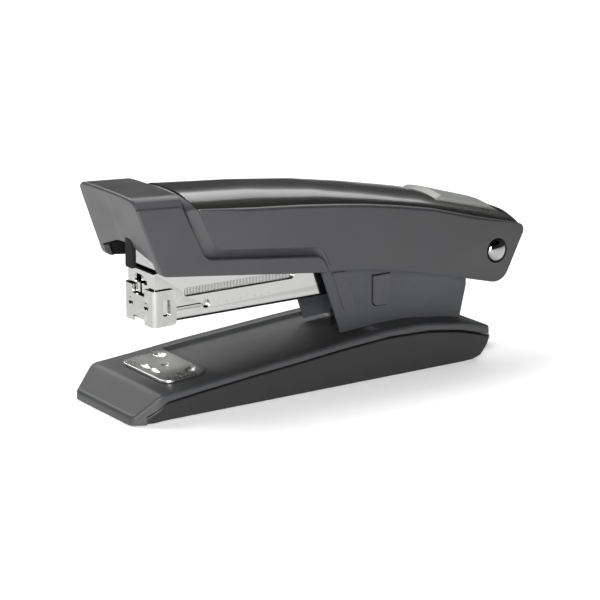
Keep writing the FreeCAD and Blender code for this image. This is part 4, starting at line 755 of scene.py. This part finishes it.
# The lower casing's lowest height along its stations, and the half width of its foot.
FOOT = line([(3.0, 0.12), (115.7, 0.12), (120.5, 0.3), (123.2, 1.3), (125.4, 4.2), (126.2, 6.4)], 0.4)
FOOT_HALF = 17.3


def lower_ring(s):
    top = UNDER(s) - SEAM
    low = min(FOOT(s), top - 0.5)
    half = PLAN(s) - 1.0
    foot_half = half - (half - FOOT_HALF) * min(1.0, (top - low) / 6.0)
    rim = min(0.6, 0.4 * (top - low))
    side = [(foot_half - 0.5, low), (foot_half - 0.15, low + 0.12), (foot_half, low + 0.5 * rim)]
    return both_sides(s, side + rounded_edge(half, top, rim))


def make_base_lower():
    """The lower casing, a black core in the seam above it as painted shade of the gap, and the pad
    underneath.
    """
    stations = [3.6, 3.8, 4.2, 5, 6.5, 8, 10, 12, 15, 18, 21.4] + list(np.linspace(25, 114, 30))
    stations += [116, 118, 120, 121.5, 123, 124, 124.8, 125.4, 125.8, 126.0]
    body = skin("base_lower_body", [lower_ring(s) for s in stations])
    # painted shade: a black block set inside the shadow gap between the two casings
    core = []
    for s in (5.0, 8.0, 12.0, 21.4, 38.3, 55.6, 69.7, 87.7, 102.6, 114.7, 124.0):
        half, level = PLAN(s) - 2.4, UNDER(s)
        core.append(np.array([(s, half, level - 1.6), (s, half, level + 0.3), (s, -half, level + 0.3),
                              (s, -half, level - 1.6)]))
    place(skin("base_seam", core), "base", black, "dark_plastic")
    low, high = station_box("base_bottom_pad")
    plan = rounded([(low.x, low.y, 4.0), (high.x, low.y, 4.0), (high.x, high.y, 4.0),
                    (low.x, high.y, 4.0)])
    rings = [np.column_stack([plan, np.full(len(plan), z)]) for z in (-2.0, 1.3)]
    combine(body, skin("pad_room", rings))
    place(body, "base", dark, "dark_plastic", "base_lower_body")
    make_pad(low, high)


def make_pad(low, high):
    """A ribbed rubber mat in the recess under the base."""
    edge, pitch = 0.3, 2.0
    mat = block("mat", (low.x + edge, low.y + edge, 0.5), (high.x - edge, high.y - edge, 1.25), 0.0, 0.2)
    ribs = []
    count = int((high.x - low.x - 2 * edge) / pitch)
    for k in range(count):
        s = low.x + 2 * edge + pitch * (k + 0.25)
        ribs.append(block(f"rib_{k}", (s, low.y + 1.0, 0.0), (s + 1.0, high.y - 1.0, 0.6), 0.25, 0.25))
    pad = together("base_bottom_pad", [mat] + ribs)
    place(pad, "base", rubber, "rubber_pad", "base_bottom_pad")


def make_anvil():
    """A plate with rounded corners, pressed with a dimple and clinch grooves."""
    low, high = station_box("anvil_plate")
    centre_s = (low.x + high.x) / 2
    slope = math.atan2(high.z - low.z - 0.7, high.x - low.x)
    length, width, thick, corner, rim = 14.8, 26.0, 0.75, 3.2, 0.3
    plan = rounded([(-length / 2, -width / 2, corner), (length / 2, -width / 2, corner),
                    (length / 2, width / 2, corner), (-length / 2, width / 2, corner)], 9)
    plan = spread_evenly(np.vstack([plan, plan[:1]]), 161)[:-1]

    def trough(x, y, cx, cy, long, wide, deep, turn=0.0):
        """Depth of an oval hollow round a centre, turned in plan."""
        c, s = math.cos(turn), math.sin(turn)
        u, v = (x - cx) * c + (y - cy) * s, -(x - cx) * s + (y - cy) * c
        inside = np.clip(1 - (u / wide) ** 2 - (v / long) ** 2, 0, 1)
        return deep * np.sqrt(inside)

    def height(x, y):
        z = np.full(len(x), thick)
        z -= trough(x, y, 0.6, 0.0, 1.25, 1.25, 0.75)
        for side in (-1, 1):
            z -= trough(x, y, -4.2, side * 2.6, 2.7, 1.15, 0.6)
            z -= trough(x, y, 3.9, side * 8.6, 2.1, 1.5, 0.65, side * 0.5)
        return z

    rings = [np.column_stack([plan, np.full(len(plan), z)]) for z in (0.0, thick - rim)]
    for k in range(4):
        angle = k / 3 * math.pi / 2
        shrunk = inset(plan, rim * (1 - math.cos(angle)))
        rings.append(np.column_stack([shrunk, np.full(len(plan), thick - rim * (1 - math.sin(angle)))]))
    flat = inset(plan, rim)
    for share in np.linspace(0.97, 0.015, 64):
        p = flat * share
        rings.append(np.column_stack([p, height(p[:, 0], p[:, 1])]))
    c, s = math.cos(slope), math.sin(slope)
    base_z = (low.z + high.z) / 2 - 0.35 - 0.02
    made = []
    for ring in rings:
        x, y, z = ring.T
        made.append(np.column_stack([centre_s + x * c - z * s, y, base_z + x * s + z * c]))
    plate = skin("anvil_plate", made)
    place(plate, "anvil", brushed, "anvil_nickel", "anvil_plate", angle=40)


def make_shroud():
    """The pillar: two side walls and a rear wall, open towards the nose."""
    low, high = station_box("pillar_shroud")
    wall, knee = 1.0, 22.0
    front_foot, rear_foot = 75.9, high.x - 2.4
    outline = rounded([(front_foot, DECK(front_foot) - 0.3, 0), (low.x, high.z, 0.4), (high.x, high.z, 0.4),
                       (high.x, knee, 1.0), (rear_foot, DECK(rear_foot) - 0.3, 0), (101.0, 14.8, 0),
                       (88.0, 14.8, 0)])
    shroud = slab("pillar_shroud", outline, even(high.y), 0.3)
    rear = rear_foot - wall
    room = rounded([(0.0, 0.0, 0), (rear, 0.0, 0), (rear, knee, 1.0), (PIN_STATION, knee, 0),
                    (PIN_STATION, 60.0, 0), (0.0, 60.0, 0)])
    combine(shroud, slab("room", room, even(high.y - wall), 0.5))
    button_low, button_high = station_box("side_button_left")
    gap = 0.3
    left, right = button_low.x - gap, button_high.x + gap * 0.4
    under, over = button_low.z - gap, button_high.z + gap
    window = rounded([(left, under, 2.1), (right, under, 2.1), (right, over, 0.1), (left, over, 0.1)])
    combine(shroud, slab("window", window, even(20), 0.0))
    bevel(shroud, 0.12)
    place(shroud, "base", stippled, "stippled_plastic", "pillar_shroud")


make_base_upper()
make_base_lower()
make_shroud()
make_anvil()

# ---------------------------------------------------------------- magazine


def make_channel():
    """The magazine's trough, with a long slot, a raised bead and tick marks on each side."""
    low, high = station_box("magazine_channel")
    half, wall, round_out = high.y, 0.8, 1.3
    front, floor = low.x, low.z
    top, rear = 40.5, PIN_STATION + 5.9
    side = rounded([
        (front, floor, 0.4), (PIN_STATION - 6.0, floor, 1.5), (PIN_STATION, PIN.z - 6.0, 4.0),
        (rear, PIN.z - 1.0, 4.5), (PIN_STATION + 2.6, PIN.z + 3.8, 2.5), (PIN_STATION - 21.5, 37.4, 2.0),
        (PIN_STATION - 35.5, top, 6.0), (front, top, 0.5)])
    fillet = np.where((side[:, 1] < floor + 0.3) & (side[:, 0] < PIN_STATION - 5), round_out, 0.15)
    shell = slab("magazine_channel", side, even(half), fillet, steps=5)
    inside, beyond, above = front + 0.6, rear + 9, 60.0
    room = [(inside, floor + wall), (beyond, floor + wall), (beyond, above), (inside, above)]
    combine(shell, slab("room", room, even(half - wall), [0.5, 0.5, 0, 0]))
    (slot_front, slot_foot), (slot_rear, slot_top), slot_round = (23.1, 32.3), (61.1, 35.0), 1.34
    window = rounded([(slot_front, slot_foot, slot_round), (slot_rear, slot_foot, slot_round),
                      (slot_rear, slot_top, slot_round), (slot_front, slot_top, slot_round)], 15)
    combine(shell, slab("window", window, even(20), 0.0))
    for s, z, r in ((30.6, 29.3, 1.3), (PIN_STATION, PIN.z, 2.05)):
        combine(shell, lathe("hole", [(-20, r), (20, r)], (s, 0, z), (0, 1, 0), 40))
    combine(shell, block("port", (front - 1, -3.4, 36.2), (front + 0.61, 3.4, 38.8)))
    combine(shell, block("slit", (front - 1, -0.5, floor - 1), (front + 0.61, 0.5, 36.3)))
    combine(shell, block("exit", (inside, -half + wall, floor - 1),
                         (front + 3.0, half - wall, floor + wall + 0.6)))
    beads = []
    for y in (-half, half):
        bead = rounded([(20.0, 28.75, 0.54), (29.0, 28.75, 0.54), (29.0, 29.85, 0.54),
                        (20.0, 29.85, 0.54)], 20)
        piece = slab(f"bead_{y:.0f}", bead, even(0.28), 0.27, steps=4)
        for vertex in piece.data.vertices:
            vertex.co.y += y * MM
        beads.append(piece)
    bevel(shell, 0.1)
    place(shell, "magazine", nickel, "nickel", "magazine_channel")
    place(together("channel_beads", beads), "magazine", nickel, "nickel")
    ticks = []
    for y in (-half, half):
        for k in range(9):
            tall = 1.5 if k % 4 == 0 else 0.9
            s, foot = 35.0 + 2.4 * k, 28.6
            ticks.append(block(f"tick_{k}", (s, y - 0.04, foot), (s + 0.35, y + 0.04, foot + tall), 0.05))
    place(together("channel_ticks", ticks), "magazine", mark, "nickel")


def make_cap():
    """The cap folded round the channel's nose: a window each side, notches above and below,
    and a dimple each side of the middle."""
    low, high = station_box("front_cap")
    wall, round_out = 0.8, 1.6
    rear, half = high.x, high.y
    plan = rounded([(rear, -half, 0), (low.x, -half, round_out), (low.x, half, round_out), (rear, half, 0),
                    (rear, half - wall, 0), (low.x + wall, half - wall, round_out - wall),
                    (low.x + wall, -half + wall, round_out - wall), (rear, -half + wall, 0)])
    rings = [np.column_stack([plan, np.full(len(plan), z)]) for z in (low.z, high.z)]
    cap = skin("front_cap", rings)
    corners = rounded([(low.x - 2, low.z, 0), (rear, low.z, 1.2), (rear, high.z, 1.2),
                       (low.x - 2, high.z, 0)])
    combine(cap, slab("corners", corners, even(12), 0.0), "INTERSECT")
    window = rounded([(15.7, 27.8, 0.4), (18.1, 27.8, 0.4), (18.1, 32.5, 0.4), (15.7, 32.5, 0.4)], 20)
    combine(cap, slab("window", window, even(20), 0.0))
    for half_notch, z0, z1 in ((3.4, high.z - 2.4, high.z + 2), (3.2, low.z - 2, low.z + 1.8)):
        notch = rounded([(-half_notch, z0, 0.5), (half_notch, z0, 0.5), (half_notch, z1, 0.5),
                         (-half_notch, z1, 0.5)])
        rings = [np.column_stack([np.full(len(notch), s), notch[:, 0], notch[:, 1]])
                 for s in (low.x - 1, low.x + wall + 0.4)]
        combine(cap, skin("notch", rings))
    hollow = [(-0.1, 1.3), (-0.05, 1.3), (0.0, 1.25), (0.3, 1.0), (0.55, 0.6), (0.6, 0.1)]
    for y in (-4.3, 4.3):
        combine(cap, lathe("dimple", hollow, (low.x, y, 30.3), (1, 0, 0), 40))
    bevel(cap, 0.13)
    place(cap, "magazine", nickel, "nickel", "front_cap", "cap_rivets")


def make_staples():
    """The strip of staples, with a fine groove between each and the next."""
    low, high = station_box("staple_strip")
    wire, pitch, bend, half = 0.5, 0.5, 0.25, high.y
    outer = np.array([
        (-half, low.z), (-half, high.z - bend), (-half + bend, high.z), (half - bend, high.z),
        (half, high.z - bend), (half, low.z), (half - wire, low.z), (half - wire, high.z - wire),
        (-half + wire, high.z - wire), (-half + wire, low.z)])
    inner = inset(outer, 0.12)
    staples = []
    for k in range(int((high.x - low.x) / pitch)):
        s = low.x + k * pitch
        rings = [np.column_stack([np.full(len(p), a), p])
                 for a, p in ((s + 0.01, inner), (s + 0.09, outer), (s + 0.41, outer), (s + 0.49, inner))]
        staples.append(skin(f"staple_{k}", rings))
    place(together("staple_strip", staples), "magazine", staple_metal, "staple_steel", "staple_strip")


def make_coil(name, body, axis, turns, joint, anchor, ease=0.0):
    """A coil spring in the space of its CAD sleeve."""
    low, high = station_box(name)
    wire = 0.34
    middle = (low + high) / 2
    along = {"x": Vector((1, 0, 0)), "z": Vector((0, 0, 1))}[axis]
    across = [Vector((0, 1, 0)), Vector((0, 0, 1)) if axis == "x" else Vector((1, 0, 0))]
    length = (high - low).dot(along) - 2 * ease
    radius = (high.y - low.y) / 2 - wire
    start = middle - along * (length / 2 - wire)
    path = []
    count = int(turns * 20)
    for k in range(count + 1):
        share = k / count
        # the first and last turns lie closer together than the rest
        close = share - math.sin(share * 2 * math.pi) / (2 * math.pi) * 0.35
        angle = 2 * math.pi * turns * share
        path.append(start + along * (length - 2 * wire) * close
                    + (across[0] * math.cos(angle) + across[1] * math.sin(angle)) * radius)
    coil = tube(name, path, wire, 8)
    place(coil, body, black_steel if body == "base" else spring_metal, "spring_steel", name, angle=60)
    if joint:
        end = Vector(anchor(low, high)) + Vector((NOSE, 0, 0))
        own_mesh(coil)


def make_leaf():
    """The bowed handle spring."""
    low, high = station_box("handle_spring")
    thick, bow = 0.5, 0.4
    share = np.linspace(0, 1, 17)
    s = low.x + (high.x - low.x) * share
    under = low.z + (high.z - thick - low.z) * share + bow * np.sin(math.pi * share)
    edge = np.vstack([np.column_stack([s, under]), np.column_stack([s, under + thick])[::-1]])
    leaf = slab("handle_spring", edge, even(high.y), 0.08)
    place(leaf, "handle", spring_metal, "spring_steel", "handle_spring")
    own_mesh(leaf)


def make_pin():
    """The hinge pin with a domed rivet head at each end."""
    low, high = station_box("hinge_pin")
    radius, shaft, end = (high.z - low.z) / 2, 2.0, high.y + 0.45   # the head's and shaft's radii
    neck = high.y - 1.6
    dome = [(end - 1.55 * (1 - math.cos(a)), max(0.02, radius * math.sin(a)))
            for a in np.linspace(0, math.pi / 2, 12)]
    head = dome + [(neck + 0.1, radius), (neck, radius - 0.1), (neck, shaft)]
    profile = head + [(-a, r) for a, r in head[::-1]]
    pin = lathe("hinge_pin", profile, (PIN_STATION, 0, PIN.z), (0, 1, 0), 64)
    place(pin, "base", nickel, "nickel", "hinge_pin", angle=50)


make_channel()
make_cap()
make_staples()
make_coil("return_spring", "base", "z", 6, "lifter_press", lambda low, high: (low.x, 0, low.z))
make_coil("pusher_spring", "magazine", "x", 22, "pusher_slide", lambda low, high: (high.x, 0, low.z))
make_coil("release_spring", "handle", "z", 4, "release_press", lambda low, high: (low.x, 0, low.z))
make_coil("anvil_spring", "anvil", "z", 3, None, None, 0.6)
make_leaf()
make_pin()

# ---------------------------------------------------------------- CAD nodes that stay

# Each node's finish, and the width of its rounded edges in millimetres.
STAYING = {
    "pillar_strips": (charcoal, 0.15),
    "side_button_left": (charcoal, 0.22), "side_button_right": (charcoal, 0.22),
    "staple_remover": (zinc, 0.25), "hinge_bracket": (black_steel, 0.15),
    "bracket_rivets": (black_steel, 0.2), "base_screws": (zinc, 0.2),
    "base_steel_plate": (zinc, 0.15), "return_lever": (black_steel, 0.1),
    "anvil_post": (brushed, 0.15), "anvil_clip": (spring_metal, 0.1), "staple_rail": (nickel, 0.12),
    "guide_rod": (nickel, 0.15), "rod_stop": (black, 0.2), "pusher": (black, 0.12),
    "handle_frame": (black_steel, 0.15), "driver_blade": (nickel, 0.1),
    "pivot_bushes": (black, 0.2),
}
for name, (material, edge) in STAYING.items():
    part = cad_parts[name]
    part.data.materials.clear()
    part.data.materials.append(material)
    weld = part.modifiers.new("weld", "WELD")
    weld.merge_threshold = 2e-6
    bevel(part, edge, 40)
    shade = part.modifiers.new("normals", "WEIGHTED_NORMAL")
    shade.keep_sharp = True

# ---------------------------------------------------------------- stage, light and camera


def make_stage():
    """A pale floor that glows a little, and a white surround that darkens overhead."""
    floor_material = finish_material("floor_paper", (0.86, 0.86, 0.86), 0.9, 2.0, 0.02,
                                     edge_highlight=0.0, spread=0.01)
    bpy.ops.mesh.primitive_plane_add(size=8.0, location=(0, 0, cad_low.z - 0.0002))
    floor = bpy.context.object
    floor.name = "floor"
    floor.data.materials.append(floor_material)
    shader = floor_material.node_tree.nodes["Principled BSDF"]
    shader.inputs["Emission Color"].default_value = (1, 1, 1, 1)
    shader.inputs["Emission Strength"].default_value = 0.3
    world = bpy.data.worlds.new("studio")
    bpy.context.scene.world = world
    world.use_nodes = True
    tree = world.node_tree
    sky = tree.nodes["Background"]
    towards = node(tree, "ShaderNodeTexCoord")
    parts = node(tree, "ShaderNodeSeparateXYZ")
    tree.links.new(towards.outputs["Generated"], parts.inputs["Vector"])
    # the dark cap of the surround leans towards the viewer's side, by half of Y
    overhead = node(tree, "ShaderNodeMapRange", interpolation_type="SMOOTHSTEP")
    for key, value in (("From Min", 0.50), ("From Max", 0.82), ("To Min", 1.0), ("To Max", 0.05)):
        overhead.inputs[key].default_value = value
    lean = node(tree, "ShaderNodeMath", operation="MULTIPLY_ADD")
    lean.inputs[1].default_value = -0.5
    tree.links.new(parts.outputs["Y"], lean.inputs[0])
    tree.links.new(parts.outputs["Z"], lean.inputs[2])
    tree.links.new(lean.outputs["Value"], overhead.inputs["Value"])
    tree.links.new(overhead.outputs["Result"], sky.inputs["Strength"])


def softbox(name, place_at, aim, width, height, power):
    """A rectangular lamp aimed at a point, in metres and watts."""
    light = bpy.data.lights.new(name, "AREA")
    light.shape = "RECTANGLE"
    light.size, light.size_y = width, height
    light.energy = power
    lamp = bpy.data.objects.new(name, light)
    lamp.location = place_at
    lamp.rotation_mode = "QUATERNION"
    lamp.rotation_quaternion = (Vector(aim) - Vector(place_at)).to_track_quat("-Z", "Y")
    bpy.context.scene.collection.objects.link(lamp)


def make_camera():
    """A long lens to the left of the nose, a little above the stapler."""
    right = Vector((0.82994, -0.55785, 0.00089))
    up = Vector((0.14569, 0.21828, 0.96495))
    back = Vector((-0.53849, -0.80072, 0.26243))
    spot = Vector((-0.41957, -0.61980, 0.22616))
    data = bpy.data.cameras.new("camera")
    data.lens = 156.0
    data.sensor_width = 36.0
    camera = bpy.data.objects.new("camera", data)
    turn = Matrix((right, up, back)).transposed().to_4x4()
    camera.matrix_world = Matrix.Translation(spot) @ turn
    bpy.context.scene.collection.objects.link(camera)
    bpy.context.scene.camera = camera


make_stage()
softbox("key", (-0.27, -0.36, 0.14), (-0.05, 0, 0.035), 0.25, 0.2, 2.8)
softbox("crest", (0.42, 0.27, 0.62), (0, 0, 0.05), 0.55, 0.35, 2.6)
softbox("back", (-0.2, 0.95, 0.95), (0, 0, 0.03), 1.2, 0.6, 9.0)
softbox("top", (-0.2, 0.55, 1.1), (0, 0, 0), 0.6, 0.5, 7.0)
make_camera()
bpy.context.scene.view_settings.view_transform = "Standard"
